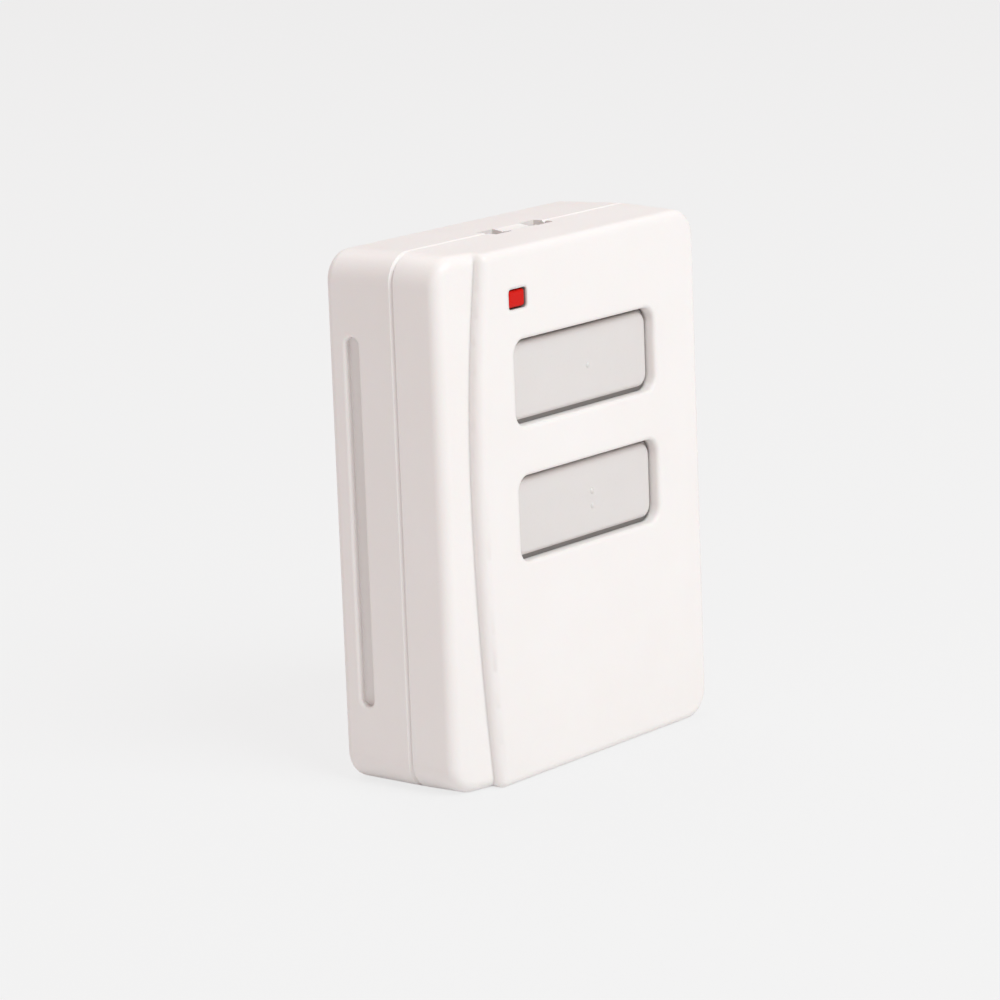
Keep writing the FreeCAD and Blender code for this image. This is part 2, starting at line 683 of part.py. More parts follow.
# Posts for the circuit board, bosses for the housing screws and two ribs that hold the battery
# back. On the left they start from the band's inner face, further back than the plateau's.
for tag, side, inner in (("Left", "-", BAND_INNER_FACE), ("Right", "", INNER_FACE)):
    posts = add_sketch(front, "XZ_Plane", "BoardPosts%sSketch" % tag, z=BOARD_FRONT)
    for height in ("Sizes.BoardScrewLow", "Sizes.BoardScrewHigh"):
        circle(posts, side + "Sizes.BoardScrewAcross", height, "Sizes.BoardPostRadius")
    pad(front, posts, "BoardPosts" + tag, "%s + %s - (%s)" % (inner, ROOT, BOARD_FRONT))
    stud(front, "ScrewBoss" + tag, side + "Sizes.ScrewAcross", "Sizes.ScrewUp",
         "Sizes.FrontBossRadius", SEAM, "%s + %s" % (inner, ROOT))
board_pilots = add_sketch(front, "XZ_Plane", "BoardPilotSketch", z=BOARD_FRONT)
screw_pilots = add_sketch(front, "XZ_Plane", "ScrewPilotSketch", z=SEAM)
RIB_BACK = "Sizes.BatteryForward + Sizes.BatteryRadius + Sizes.CradleGap"
ribs = add_sketch(front, "XZ_Plane", "BatteryRibSketch", z=RIB_BACK)
for side in ("-", ""):
    for height in ("Sizes.BoardScrewLow", "Sizes.BoardScrewHigh"):
        circle(board_pilots, side + "Sizes.BoardScrewAcross", height,
               "Sizes.BoardScrewShank + Sizes.ThreadGap")
    circle(screw_pilots, side + "Sizes.ScrewAcross", "Sizes.ScrewUp",
           "Sizes.ScrewShank + Sizes.ThreadGap")
    centred_rectangle(ribs, side + "Sizes.CradleAcross", "Sizes.BatteryUp",
                      "Sizes.CradleThickness", "Sizes.BatteryRadius")
pocket(front, board_pilots, "BoardPilots", "Sizes.BoardPilotDepth", along_normal=True)
pocket(front, screw_pilots, "ScrewPilots", "Sizes.ScrewPilotDepth", along_normal=True)
pad(front, ribs, "BatteryRibs", "%s + %s - (%s)" % (INNER_FACE, ROOT, RIB_BACK))

# A lip round the seam reaches into the rear shell, and two snap tongues hook behind its top wall.
LIP_OUT = "(Sizes.SideWall - Sizes.LipThickness)"
lip = add_sketch(front, "XZ_Plane", "LipSketch", z=SEAM)
lip_side = "%s - %s" % (HALF_WIDTH, LIP_OUT)
rounded_rectangle(lip, "-(%s)" % lip_side, lip_side, LIP_OUT, "Sizes.HousingHeight - " + LIP_OUT,
                  "(Sizes.CavityRadius + Sizes.LipThickness)")
rounded_rectangle(lip, "-(%s)" % INNER_SIDE, INNER_SIDE, "Sizes.SideWall", INNER_TOP,
                  "Sizes.CavityRadius")
pad(front, lip, "Lip", "Sizes.LipHeight", towards_rear=True)

tongue_top = INNER_TOP + " - Sizes.TongueGap"
tongue_end = SEAM + " - Sizes.TongueLength"
tongue_root = SEAM + " + 2 * Sizes.TongueThickness"
for side in ("-", ""):
    tag = "Left" if side else "Right"
    tongue = add_sketch(front, "YZ_Plane", "Tongue%sSketch" % tag, z=side + "Sizes.TongueAcross")
    polygon(tongue, [("-(%s)" % forward, up) for forward, up in (
        (tongue_root, INNER_TOP + " + " + ROOT),
        (tongue_root, tongue_top + " - Sizes.TongueThickness"),
        (tongue_end, tongue_top + " - Sizes.TongueThickness"),
        (tongue_end, tongue_top),
        (tongue_end + " + Sizes.CatchLength / 2", tongue_top + " + Sizes.CatchHeight"),
        (tongue_end + " + Sizes.CatchLength", tongue_top + " + Sizes.CatchHeight"),
        (tongue_end + " + Sizes.CatchLength", tongue_top),
        (SEAM + " + Sizes.TongueThickness", tongue_top),
        (SEAM + " + Sizes.TongueThickness", INNER_TOP + " + " + ROOT),
    )])
    pad(front, tongue, "Tongue" + tag, "Sizes.TongueWidth", midplane=True)


def lanyard_eye(body, name, rear, ahead, wall_rear, wall_ahead, wall_top):
    """The tunnel behind the top wall and the two openings into it, between two forward values."""
    half_tunnel = "(Sizes.EyeAcross + Sizes.EyeWidth / 2)"
    roof = "(Sizes.HousingHeight - Sizes.EyeRoof)"
    floor = "(Sizes.HousingHeight - Sizes.EyeTunnelDepth)"
    box = add_sketch(body, "XZ_Plane", name + "BoxSketch", x="Sizes.EyeOffset", z=wall_rear)
    rectangle(box, "-%s - Sizes.EyeWall" % half_tunnel, "%s + Sizes.EyeWall" % half_tunnel,
              floor + " - Sizes.EyeWall", wall_top)
    pad(body, box, name + "Box", "%s - (%s)" % (wall_ahead, wall_rear))
    tunnel = add_sketch(body, "XZ_Plane", name + "TunnelSketch", x="Sizes.EyeOffset", z=ahead)
    polygon(tunnel, [
        ("-" + half_tunnel, floor),
        (half_tunnel, floor),
        (half_tunnel, "Sizes.HousingHeight + 2"),
        ("Sizes.EyeAcross - Sizes.EyeWidth / 2", "Sizes.HousingHeight + 2"),
        ("Sizes.EyeAcross - Sizes.EyeWidth / 2", roof),
        ("-Sizes.EyeAcross + Sizes.EyeWidth / 2", roof),
        ("-Sizes.EyeAcross + Sizes.EyeWidth / 2", "Sizes.HousingHeight + 2"),
        ("-" + half_tunnel, "Sizes.HousingHeight + 2"),
    ])
    pocket(body, tunnel, name + "Tunnel", "%s - (%s)" % (ahead, rear))
    return scoop_eye(body, name + "Scoop")


LIP_BACK = SEAM + " - Sizes.LipHeight"
EYE_AHEAD = SEAM + " + Sizes.EyeFront"
EYE_REAR = SEAM + " - Sizes.EyeRear"
cut_block(front, "LipGap", "Sizes.EyeOffset", INNER_TOP,
          "2 * (Sizes.EyeAcross + Sizes.EyeWidth / 2 + Sizes.EyeWall + Sizes.BossGap)",
          "2 * Sizes.SideWall", LIP_BACK + " - 1", SEAM)
front_scoop = lanyard_eye(front, "Eye", SEAM, EYE_AHEAD, SEAM, EYE_AHEAD + " + Sizes.EyeWall",
                          INNER_TOP + " + " + ROOT)


def on_key_well_rim(edge):
    """An edge of a key well where it opens on the plateau."""
    x, forward, z = middle(edge)
    if not near(forward, FRONT) or not upright(edge):
        return False
    reach = number("Sizes.KeyWidth / 2 + 2 * Sizes.KeyEndGap")
    rise = number("Sizes.KeyHeight / 2 + 2 * Sizes.KeySlitGap")
    across = abs(x - number("Sizes.KeyOffset")) < reach
    return across and any(abs(z - number(height)) < rise for height in KEY_HEIGHTS.values())


rim_round = fillet(front, "WellEdge", front_scoop, edges_where(front_scoop, on_key_well_rim),
                   "Sizes.WellEdgeRadius")


# The rear shell, moulded in the same plastic. It holds the battery's cradle, the stops that stiffen
# the battery contacts, the bosses that the housing screws pass through and, in each side, the groove
# that a belt clip or a wall bracket slides along.

rear = new_body("rear_cover")
rear_block = shell_block(rear, BACK, "Sizes.RearDraft", SEAM, "0")
back_rim = edges_where(rear_block, lambda edge: near(middle(edge)[1], BACK) and upright(edge))
fillet(rear, "BackEdge", rear_block, back_rim, "Sizes.BackEdgeRadius")
well(rear, "Cavity", "-(%s)" % INNER_SIDE, INNER_SIDE, "Sizes.SideWall", INNER_TOP,
     "Sizes.CavityRadius", INNER_BACK, SEAM)
REBATE = "(Sizes.SideWall - Sizes.LipThickness - Sizes.LipClearance)"
well(rear, "Rebate", "-(%s - %s)" % (HALF_WIDTH, REBATE), "%s - %s" % (HALF_WIDTH, REBATE), REBATE,
     "Sizes.HousingHeight - " + REBATE, "(Sizes.CavityRadius + Sizes.LipThickness)",
     SEAM + " - Sizes.LipHeight - Sizes.LipClearance", SEAM)

# Bosses, battery cradle, and the stops behind the contacts.
boss_front = SEAM + " - Sizes.BossGap"
bosses = add_sketch(rear, "XZ_Plane", "BossSketch", z=BACK + " + Sizes.BackWall / 2")
clear_holes = add_sketch(rear, "XZ_Plane", "ClearHoleSketch", z=SEAM)
head_wells = add_sketch(rear, "XZ_Plane", "HeadWellSketch", z=BACK + " + Sizes.ScrewHeadWellDepth")
for side in ("-", ""):
    across = side + "Sizes.ScrewAcross"
    circle(bosses, across, "Sizes.ScrewUp", "Sizes.RearBossRadius")
    circle(clear_holes, across, "Sizes.ScrewUp", "Sizes.ScrewClearRadius")
    circle(head_wells, across, "Sizes.ScrewUp", "Sizes.ScrewHeadWell")
pad(rear, bosses, "Bosses", "%s - (%s) - Sizes.BackWall / 2" % (boss_front, BACK))
pocket(rear, clear_holes, "ClearHoles", "%s - (%s) + 1" % (SEAM, BACK))
pocket(rear, head_wells, "HeadWells", "Sizes.ScrewHeadWellDepth + 1")

CRADLE_ROOT = BACK + " + Sizes.BackWall / 2"
cradle = add_sketch(rear, "XZ_Plane", "CradleSketch", z=CRADLE_ROOT)
for side in ("-", ""):
    middle_line = side + "Sizes.CradleAcross"
    rectangle(cradle, middle_line + " - Sizes.CradleThickness / 2",
              middle_line + " + Sizes.CradleThickness / 2", "Sizes.SideWall / 2", "Sizes.CradleTop")
pad(rear, cradle, "CradleRibs", "Sizes.BatteryForward - 1 - (%s)" % CRADLE_ROOT)
saddle = add_sketch(rear, "YZ_Plane", "SaddleSketch")
circle(saddle, "-(Sizes.BatteryForward)", "Sizes.BatteryUp", "Sizes.BatteryRadius + Sizes.CradleGap")
pocket(rear, saddle, "Saddle", "2 * Sizes.CradleAcross + 2 * Sizes.CradleThickness", midplane=True)
stops = add_sketch(rear, "XZ_Plane", "StopSketch", z=CRADLE_ROOT)
stop_near = "(%s + Sizes.ContactThickness)" % CONTACT_FACE
for left, right in (("-%s - Sizes.StopThickness" % stop_near, "-" + stop_near),
                    (stop_near, "%s + Sizes.StopThickness" % stop_near)):
    rectangle(stops, left, right, "Sizes.SideWall / 2", "Sizes.StopHeight")
pad(rear, stops, "ContactStops", "Sizes.BatteryForward - 1 - (%s)" % CRADLE_ROOT)

# Slots that the snap tongues hook into.
catches = add_sketch(rear, "XZ_Plane", "CatchSketch",
                     z=tongue_end + " + Sizes.CatchLength + Sizes.CatchGap")
for side in ("-", ""):
    centred_rectangle(catches, side + "Sizes.TongueAcross", INNER_TOP,
                      "Sizes.TongueWidth + 2 * Sizes.CatchGap",
                      "2 * (Sizes.CatchHeight + Sizes.CatchGap - Sizes.TongueGap)")
pocket(rear, catches, "CatchSlots", "Sizes.CatchLength + 2 * Sizes.CatchGap")

for tag, side in (("Left", "-"), ("Right", "")):
    groove = add_sketch(rear, "YZ_Plane", "ClipGroove%sSketch" % tag,
                        z="%s(%s - Sizes.GrooveDepth)" % (side, HALF_WIDTH))
    rounded_rectangle(groove, "-(Sizes.GrooveForward) - Sizes.GrooveWidth / 2",
                      "-(Sizes.GrooveForward) + Sizes.GrooveWidth / 2", "Sizes.GrooveBottom",
                      "Sizes.GrooveTop", "(Sizes.GrooveWidth * 0.48)")
    groove_cut = pocket(rear, groove, "ClipGroove" + tag, "Sizes.GrooveDepth + 2",
                        along_normal=side == "")


def on_groove_rim(edge):
    """An edge of a clip groove where it opens on the shell's side."""
    x, forward, z = middle(edge)
    outside = round(abs(x) - number(HALF_WIDTH)) == 0
    level = abs(forward - number("Sizes.GrooveForward")) < number("Sizes.GrooveWidth")
    return outside and level and number("Sizes.GrooveBottom - 1") < z < number("Sizes.GrooveTop + 1")


fillet(rear, "GrooveEdge", groove_cut, edges_where(groove_cut, on_groove_rim),
       "Sizes.GrooveEdgeRadius")
rear_scoop = lanyard_eye(rear, "RearEye", EYE_REAR, SEAM, EYE_REAR + " - Sizes.EyeWall",
                         SEAM + " - Sizes.BossGap", "Sizes.HousingHeight - Sizes.SideWall / 4")

# The two keys, moulded in light grey. A cap fills each well, a flange behind the face keeps it in,
# and a post on the hollow underside stands on the switch's plunger.
FLANGE_FRONT = INNER_FACE + " - Sizes.FlangeGap"
KEY_FACE = FRONT + " - Sizes.KeyRecess"


def make_key(place, height):
    """One key about its well's middle."""
    body = new_body(place + "_button")
    flange_rear = FLANGE_FRONT + " - Sizes.FlangeThickness"
    block(body, "Flange", "Sizes.KeyOffset", height, FLANGE_WIDTH, FLANGE_HEIGHT, flange_rear,
          FLANGE_FRONT)
    cap = add_sketch(body, "XZ_Plane", "CapSketch", z=flange_rear)
    rounded_rectangle(cap, "Sizes.KeyOffset - Sizes.KeyWidth / 2",
                      "Sizes.KeyOffset + Sizes.KeyWidth / 2", "%s - Sizes.KeyHeight / 2" % height,
                      "%s + Sizes.KeyHeight / 2" % height, "Sizes.KeyRadius")
    pad(body, cap, "Cap", "%s - (%s)" % (KEY_FACE, flange_rear))
    cut_block(body, "Hollow", "Sizes.KeyOffset", height, "Sizes.KeyWidth - 2 * Sizes.KeyWall",
              "Sizes.KeyHeight - 2 * Sizes.KeyWall", flange_rear, KEY_FACE + " - Sizes.KeySkin")
    post = stud(body, "Post", "Sizes.KeyOffset", height, "Sizes.KeyPostRadius", PLUNGER_TOP,
                KEY_FACE + " - Sizes.KeySkin / 2")
    rim = edges_where(post, lambda edge: near(middle(edge)[1], KEY_FACE) and upright(edge))
    fillet(body, "CapEdge", post, rim, "Sizes.KeyEdgeRadius")
    return body


keys = [make_key(place, height) for place, height in KEY_HEIGHTS.items()]

# The red light window, pressed into the face from behind, and the lamp that shines into it.
lens = new_body("led_lens")
lens_left = "-Sizes.WindowOffset - Sizes.WindowWidth / 2 + Sizes.LensGap"
lens_right = "-Sizes.WindowOffset + Sizes.WindowWidth / 2 - Sizes.LensGap"
lens_low = "Sizes.WindowUp - Sizes.WindowHeight / 2 + Sizes.LensGap"
lens_high = "Sizes.WindowUp + Sizes.WindowHeight / 2 - Sizes.LensGap"
block(lens, "LensFlange", "-Sizes.WindowOffset", "Sizes.WindowUp",
      "Sizes.WindowWidth + 2 * Sizes.LensFlangeRim", "Sizes.WindowHeight + 2 * Sizes.LensFlangeRim",
      INNER_FACE + " - Sizes.LensFlangeThickness", INNER_FACE)
pane = add_sketch(lens, "XZ_Plane", "PaneSketch", z=INNER_FACE + " - Sizes.LensFlangeThickness")
rounded_rectangle(pane, lens_left, lens_right, lens_low, lens_high, "Sizes.WindowRadius")
pane_block = pad(lens, pane, "Pane",
                 "Sizes.LensFlangeThickness + Sizes.FaceWall - Sizes.LensRecess")
LENS_FACE = FRONT + " - Sizes.LensRecess"
pane_rim = edges_where(
    pane_block, lambda edge: near(middle(edge)[1], LENS_FACE) and upright(edge))
fillet(lens, "PaneEdge", pane_block, pane_rim, "Sizes.LensEdgeRadius")

lamp = new_body("status_led")
lamp_top = BOARD_FRONT + " + Sizes.LampLength"
lamp_turned = turned(lamp, "LampDome", "-Sizes.WindowOffset", "Sizes.WindowUp", [
    ("0", BOARD_FRONT),
    ("Sizes.LampFlangeRadius", BOARD_FRONT),
    ("Sizes.LampFlangeRadius", BOARD_FRONT + " + Sizes.LampFlangeThickness"),
    ("Sizes.LampRadius", BOARD_FRONT + " + Sizes.LampFlangeThickness"),
    ("Sizes.LampRadius", lamp_top),
    ("0", lamp_top),
])
dome_edges = edges_where(
    lamp_turned, lambda edge: near(middle(edge)[1], lamp_top) and upright(edge)
    and span(edge)[0] > number("Sizes.LampRadius") * 1.5)
lamp_dome = fillet(lamp, "DomeEdge", lamp_turned, dome_edges, "Sizes.LampRadius * 0.9")
legs = add_sketch(lamp, "XZ_Plane", "LegSketch", z=BOARD_REAR + " - Sizes.LampLegTail")
for side in ("-", "+"):
    centred_rectangle(legs, "-Sizes.WindowOffset %s Sizes.LampLegSpacing / 2" % side,
                      "Sizes.WindowUp", "Sizes.LampLegWidth", "Sizes.LampLegWidth")
pad(lamp, legs, "Legs", "Sizes.LampLegTail + Sizes.BoardThickness + Sizes.LampFlangeThickness / 2")

# The circuit board, a glass-fibre sheet. A notch clears the lanyard eye; slots at the lower edge
# take the battery contacts' tails.
board = new_body("circuit_board")
outline = add_sketch(board, "XZ_Plane", "BoardSketch", z=BOARD_REAR)
rounded_rectangle(outline, "-Sizes.BoardWidth / 2", "Sizes.BoardWidth / 2", "Sizes.BoardBottom",
                  "%s - Sizes.BoardTopGap" % INNER_TOP, "Sizes.BoardRadius")
pad(board, outline, "Board", "Sizes.BoardThickness")
cuts = add_sketch(board, "XZ_Plane", "BoardCutSketch", z=BOARD_FRONT)
notch_half = "(Sizes.EyeAcross + Sizes.EyeWidth / 2 + Sizes.EyeWall + Sizes.EyeGap)"
rectangle(cuts, "Sizes.EyeOffset - " + notch_half, "Sizes.EyeOffset + " + notch_half,
          "%s - Sizes.EyeWall - Sizes.EyeGap" % EYE_FLOOR, "Sizes.HousingHeight")
slot_top = "Sizes.BoardBottom + Sizes.ContactTailRise + Sizes.ContactSlotGap"
for left, right in (
        ("-%s - Sizes.ContactSlotGap" % stop_near,
         "-(%s) + Sizes.ContactSlotGap" % CONTACT_FACE),
        (CONTACT_FACE + " - Sizes.ContactSlotGap", stop_near + " + Sizes.ContactSlotGap")):
    rectangle(cuts, left, right, "Sizes.BoardBottom - 1", slot_top)
for side in ("-", ""):
    for height in ("Sizes.BoardScrewLow", "Sizes.BoardScrewHigh"):
        circle(cuts, side + "Sizes.BoardScrewAcross", height, "Sizes.BoardHoleRadius")
    circle(cuts, side + "Sizes.AerialSpan / 2", "Sizes.AerialUp",
           "Sizes.AerialWire + Sizes.ContactSlotGap")
for sign in ("-", "+"):
    circle(cuts, "-Sizes.WindowOffset %s Sizes.LampLegSpacing / 2" % sign, "Sizes.WindowUp",
           "Sizes.TerminalHoleRadius")
TERMINAL_ACROSS = "(Sizes.SwitchWidth + Sizes.TerminalThickness) / 2"
TERMINAL_PLACES = [
    ("Sizes.KeyOffset %s %s" % (across, TERMINAL_ACROSS),
     "%s %s Sizes.TerminalPitch / 2" % (height, up))
    for height in KEY_HEIGHTS.values() for across in ("-", "+") for up in ("-", "+")
]
for across, up in TERMINAL_PLACES:
    circle(cuts, across, up, "Sizes.TerminalHoleRadius")
pocket(board, cuts, "BoardCuts", "Sizes.BoardThickness")


def make_screws(name, places, head_radius, head_height, shank_radius, length, seat):
    """A group of alike screws whose heads bear on a seat and whose shanks point forward."""
    body = new_body(name)
    body.AllowCompound = True
    shanks = add_sketch(body, "XZ_Plane", "ShankSketch", z=seat)
    heads = add_sketch(body, "XZ_Plane", "HeadSketch", z=seat)
    recesses = add_sketch(body, "XZ_Plane", "RecessSketch", z="%s - %s" % (seat, head_height))
    for across, up in places:
        circle(shanks, across, up, shank_radius)
        circle(heads, across, up, head_radius)
        arm = head_radius + " * 0.6"
        slot = head_radius + " * 0.14"
        corners = [("", arm, slot), ("", slot, slot), ("", slot, arm), ("-", slot, arm),
                   ("-", slot, slot), ("-", arm, slot)]
        upper_half = [(sign, reach, "+", rise) for sign, reach, rise in corners]
        lower_half = [(sign, reach, "-", rise) for sign, reach, rise in reversed(corners)]
        polygon(recesses, [
            ("%s %s %s" % (across, sign or "+", reach), "%s %s %s" % (up, level, rise))
            for sign, reach, level, rise in upper_half + lower_half])
    pad(body, shanks, "Shanks", length)
    pad(body, heads, "Heads", head_height, towards_rear=True)
    pocket(body, recesses, "Recesses", head_height + " * 0.6", along_normal=True)
    return body


board_screw_places = [
    (side + "Sizes.BoardScrewAcross", height)
    for side in ("-", "") for height in ("Sizes.BoardScrewLow", "Sizes.BoardScrewHigh")
]
board_screws = make_screws("board_screws", board_screw_places, "Sizes.BoardScrewHead",
                           "Sizes.BoardScrewHeadHeight", "Sizes.BoardScrewShank",
                           "Sizes.BoardScrewLength", BOARD_REAR)
housing_screw_places = [("-Sizes.ScrewAcross", "Sizes.ScrewUp"), ("Sizes.ScrewAcross", "Sizes.ScrewUp")]
housing_screws = make_screws("housing_screws", housing_screw_places, "Sizes.ScrewHead",
                             "Sizes.ScrewHeadHeight", "Sizes.ScrewShank", "Sizes.ScrewLength",
                             BACK + " + Sizes.ScrewHeadWellDepth")

# A tactile switch under each key: a plastic case, a steel cover, a round plunger and four terminals.
COVER_REAR = BOARD_FRONT + " + Sizes.SwitchBodyHeight"
PLUNGER_COLLAR = "(%s - Sizes.PlungerCollarGap)" % COVER_REAR


def make_switch(place, height):
    """The case, the cover and the plunger of one tactile switch."""
    case = new_body(place + "_switch_body")
    block(case, "Case", "Sizes.KeyOffset", height, "Sizes.SwitchWidth", "Sizes.SwitchWidth",
          BOARD_FRONT, COVER_REAR)
    bore(case, "CaseBore", "Sizes.KeyOffset", height, "Sizes.SwitchCavityRadius",
         BOARD_FRONT + " + Sizes.SwitchFloor", COVER_REAR)
    cover = new_body(place + "_switch_cover")
    block(cover, "Cover", "Sizes.KeyOffset", height, "Sizes.SwitchWidth", "Sizes.SwitchWidth",
          COVER_REAR, SWITCH_TOP)
    bore(cover, "CoverBore", "Sizes.KeyOffset", height, "Sizes.SwitchCoverBore", COVER_REAR,
         SWITCH_TOP)
    plunger = new_body(place + "_switch_plunger")
    collar_rear = "(%s - Sizes.PlungerCollarThickness)" % PLUNGER_COLLAR
    tail = "(%s + Sizes.SwitchFloor + Sizes.PlungerFloorGap + Sizes.KeyTravel)" % BOARD_FRONT
    turned(plunger, "Plunger", "Sizes.KeyOffset", height, [
        ("0", tail),
        ("Sizes.PlungerRadius", tail),
        ("Sizes.PlungerRadius", collar_rear),
        ("Sizes.PlungerCollarRadius", collar_rear),
        ("Sizes.PlungerCollarRadius", PLUNGER_COLLAR),
        ("Sizes.PlungerRadius", PLUNGER_COLLAR),
        ("Sizes.PlungerRadius", PLUNGER_TOP),
        ("0", PLUNGER_TOP),
    ])
    return case, cover, plunger


switches = [make_switch(place, height) for place, height in KEY_HEIGHTS.items()]
terminals = new_body("switch_terminals")
terminals.AllowCompound = True
terminal_sketch = add_sketch(terminals, "XZ_Plane", "TerminalSketch",
                             z=BOARD_REAR + " - Sizes.TerminalTail")
for across, up in TERMINAL_PLACES:
    centred_rectangle(terminal_sketch, across, up, "Sizes.TerminalThickness",
                      "Sizes.TerminalWidth")
pad(terminals, terminal_sketch, "Terminals",
    "Sizes.TerminalTail + Sizes.BoardThickness + Sizes.TerminalRise")

# The battery, one sealed lithium cell that lies across the housing, and its two sprung contacts.
battery = new_body("battery")
cell = add_sketch(battery, "XY_Plane", "CellSketch", y="-(Sizes.BatteryForward)", z="Sizes.BatteryUp")
can_end = "(%s - Sizes.BatteryNubHeight)" % BATTERY_END
polygon(cell, [
    ("-%s" % BATTERY_END, "0"),
    (BATTERY_END, "0"),
    (BATTERY_END, "-Sizes.BatteryNubRadius"),
    (can_end, "-Sizes.BatteryNubRadius"),
    (can_end, "-Sizes.BatteryRadius + Sizes.BatteryEdgeRadius"),
    (can_end + " - Sizes.BatteryEdgeRadius", "-Sizes.BatteryRadius"),
    ("-%s + Sizes.BatteryEdgeRadius" % BATTERY_END, "-Sizes.BatteryRadius"),
    ("-%s" % BATTERY_END, "-Sizes.BatteryRadius + Sizes.BatteryEdgeRadius"),
])
cell_turn = battery.newObject("PartDesign::Revolution", "Cell")
cell_turn.Profile = cell
cell_turn.ReferenceAxis = (cell, ["H_Axis"])
cell_turn.Angle = 360


def make_contact(name, side):
    """A sprung contact: an upright strip, a leaf that bears on the cell and a soldered tail."""
    body = new_body(name)
    leaf = add_sketch(body, "XZ_Plane", "LeafSketch", z="Sizes.BatteryForward")
    back = "(%s)" % CONTACT_FACE
    bend = "(Sizes.ContactFoot + 3 * Sizes.ContactThickness)"
    top = "(Sizes.BoardBottom - 4 * Sizes.ContactThickness)"
    free = "(Sizes.BatteryUp + Sizes.BatteryRadius / 2)"
    points = [
        (stop_near, "Sizes.ContactFoot"),
        (stop_near, top),
        (back, top),
        (back, bend),
        (BATTERY_END + " + Sizes.ContactThickness", "Sizes.BatteryUp"),
        (back + " - Sizes.ContactThickness", free),
        (back + " - 2 * Sizes.ContactThickness", free),
        (BATTERY_END, "Sizes.BatteryUp"),
        (back + " - Sizes.ContactThickness", "Sizes.ContactFoot"),
    ]
    polygon(leaf, [("%s(%s)" % (side, across), up) for across, up in points])
    pad(body, leaf, "Leaf", "Sizes.ContactWidth", midplane=True)
    tail = add_sketch(body, "XZ_Plane", "TailSketch",
                      z="(%s + %s) / 2" % (BOARD_FRONT, BOARD_REAR))
    tail_top = "Sizes.BoardBottom + Sizes.ContactTailRise"
    ends = [side + back, side + stop_near]
    if side:
        ends.reverse()
    rectangle(tail, ends[0], ends[1], top + " - 1", tail_top)
    pad(body, tail, "Tail", "Sizes.ContactTailWidth", midplane=True)
    return body


contacts = [make_contact("battery_positive_contact", ""),
            make_contact("battery_negative_contact", "-")]

# The parts soldered behind the board. Each stands on the board's rear face.


def rear_block_part(body, name, across, up, width, height, rise, base=BOARD_REAR):
    """A rectangular block that stands on a plane and rises towards the rear."""
    return block(body, name, across, up, width, height, "%s - %s" % (base, rise), base)


chip = new_body("microcontroller")
chip_base = "(%s - Sizes.ChipStandoff)" % BOARD_REAR
rear_block_part(chip, "Package", "Sizes.ChipAcross", "Sizes.ChipUp", "Sizes.ChipLength",
                "Sizes.ChipWidth", "Sizes.ChipHeight", chip_base)
lead = add_sketch(chip, "YZ_Plane", "LeadSketch",
                  z="Sizes.ChipAcross - (Sizes.LeadCount - 1) * Sizes.LeadPitch / 2")
lead_level = "(%s - Sizes.ChipHeight / 2)" % chip_base
foot_top = "(%s - Sizes.LeadThickness)" % BOARD_REAR
for sign in ("-", "+"):
    points = [
        (lead_level, "Sizes.ChipWidth / 2 - 0.1"),
        (lead_level, "Sizes.ChipWidth / 2 + Sizes.LeadReach / 2"),
        (foot_top, "Sizes.ChipWidth / 2 + Sizes.LeadReach / 2"),
        (foot_top, "Sizes.ChipWidth / 2 + Sizes.LeadReach"),
        (BOARD_REAR, "Sizes.ChipWidth / 2 + Sizes.LeadReach"),
        (BOARD_REAR, "Sizes.ChipWidth / 2 + Sizes.LeadReach / 2 - Sizes.LeadThickness"),
        (lead_level + " + Sizes.LeadThickness",
         "Sizes.ChipWidth / 2 + Sizes.LeadReach / 2 - Sizes.LeadThickness"),
        (lead_level + " + Sizes.LeadThickness", "Sizes.ChipWidth / 2 - 0.1"),
    ]
    polygon(lead, [("-(%s)" % forward, "Sizes.ChipUp %s (%s)" % (sign, up))
                   for forward, up in points])
lead_pad = pad(chip, lead, "Lead", "Sizes.LeadWidth", midplane=True)
leads = chip.newObject("PartDesign::LinearPattern", "Leads")
leads.Originals = [lead_pad]
leads.Direction = (lead, ["N_Axis"])
leads.setExpression("Length", "(Sizes.LeadCount - 1) * Sizes.LeadPitch")
leads.setExpression("Occurrences", "Sizes.LeadCount")
chip.Tip = leads

can = new_body("saw_resonator")
can_top = "(%s - Sizes.CanHeight)" % BOARD_REAR
can_flange = "(%s - Sizes.CanFlangeThickness)" % BOARD_REAR
turned(can, "Can", "Sizes.CanAcross", "Sizes.CanUp", [
    ("0", BOARD_REAR),
    ("Sizes.CanFlangeRadius", BOARD_REAR),
    ("Sizes.CanFlangeRadius", can_flange),
    ("Sizes.CanRadius", can_flange),
    ("Sizes.CanRadius", can_top + " + Sizes.CanEdgeRadius"),
    ("Sizes.CanRadius - Sizes.CanEdgeRadius", can_top),
    ("0", can_top),
])

crystal = new_body("crystal")
crystal_outline = add_sketch(crystal, "XZ_Plane", "CrystalSketch",
                             z="%s - Sizes.CrystalHeight" % BOARD_REAR)
rounded_rectangle(crystal_outline, "Sizes.CrystalAcross - Sizes.CrystalLength / 2",
                  "Sizes.CrystalAcross + Sizes.CrystalLength / 2",
                  "Sizes.CrystalUp - Sizes.CrystalWidth / 2",
                  "Sizes.CrystalUp + Sizes.CrystalWidth / 2", "(Sizes.CrystalWidth * 0.45)")
pad(crystal, crystal_outline, "CrystalCan", "Sizes.CrystalHeight")

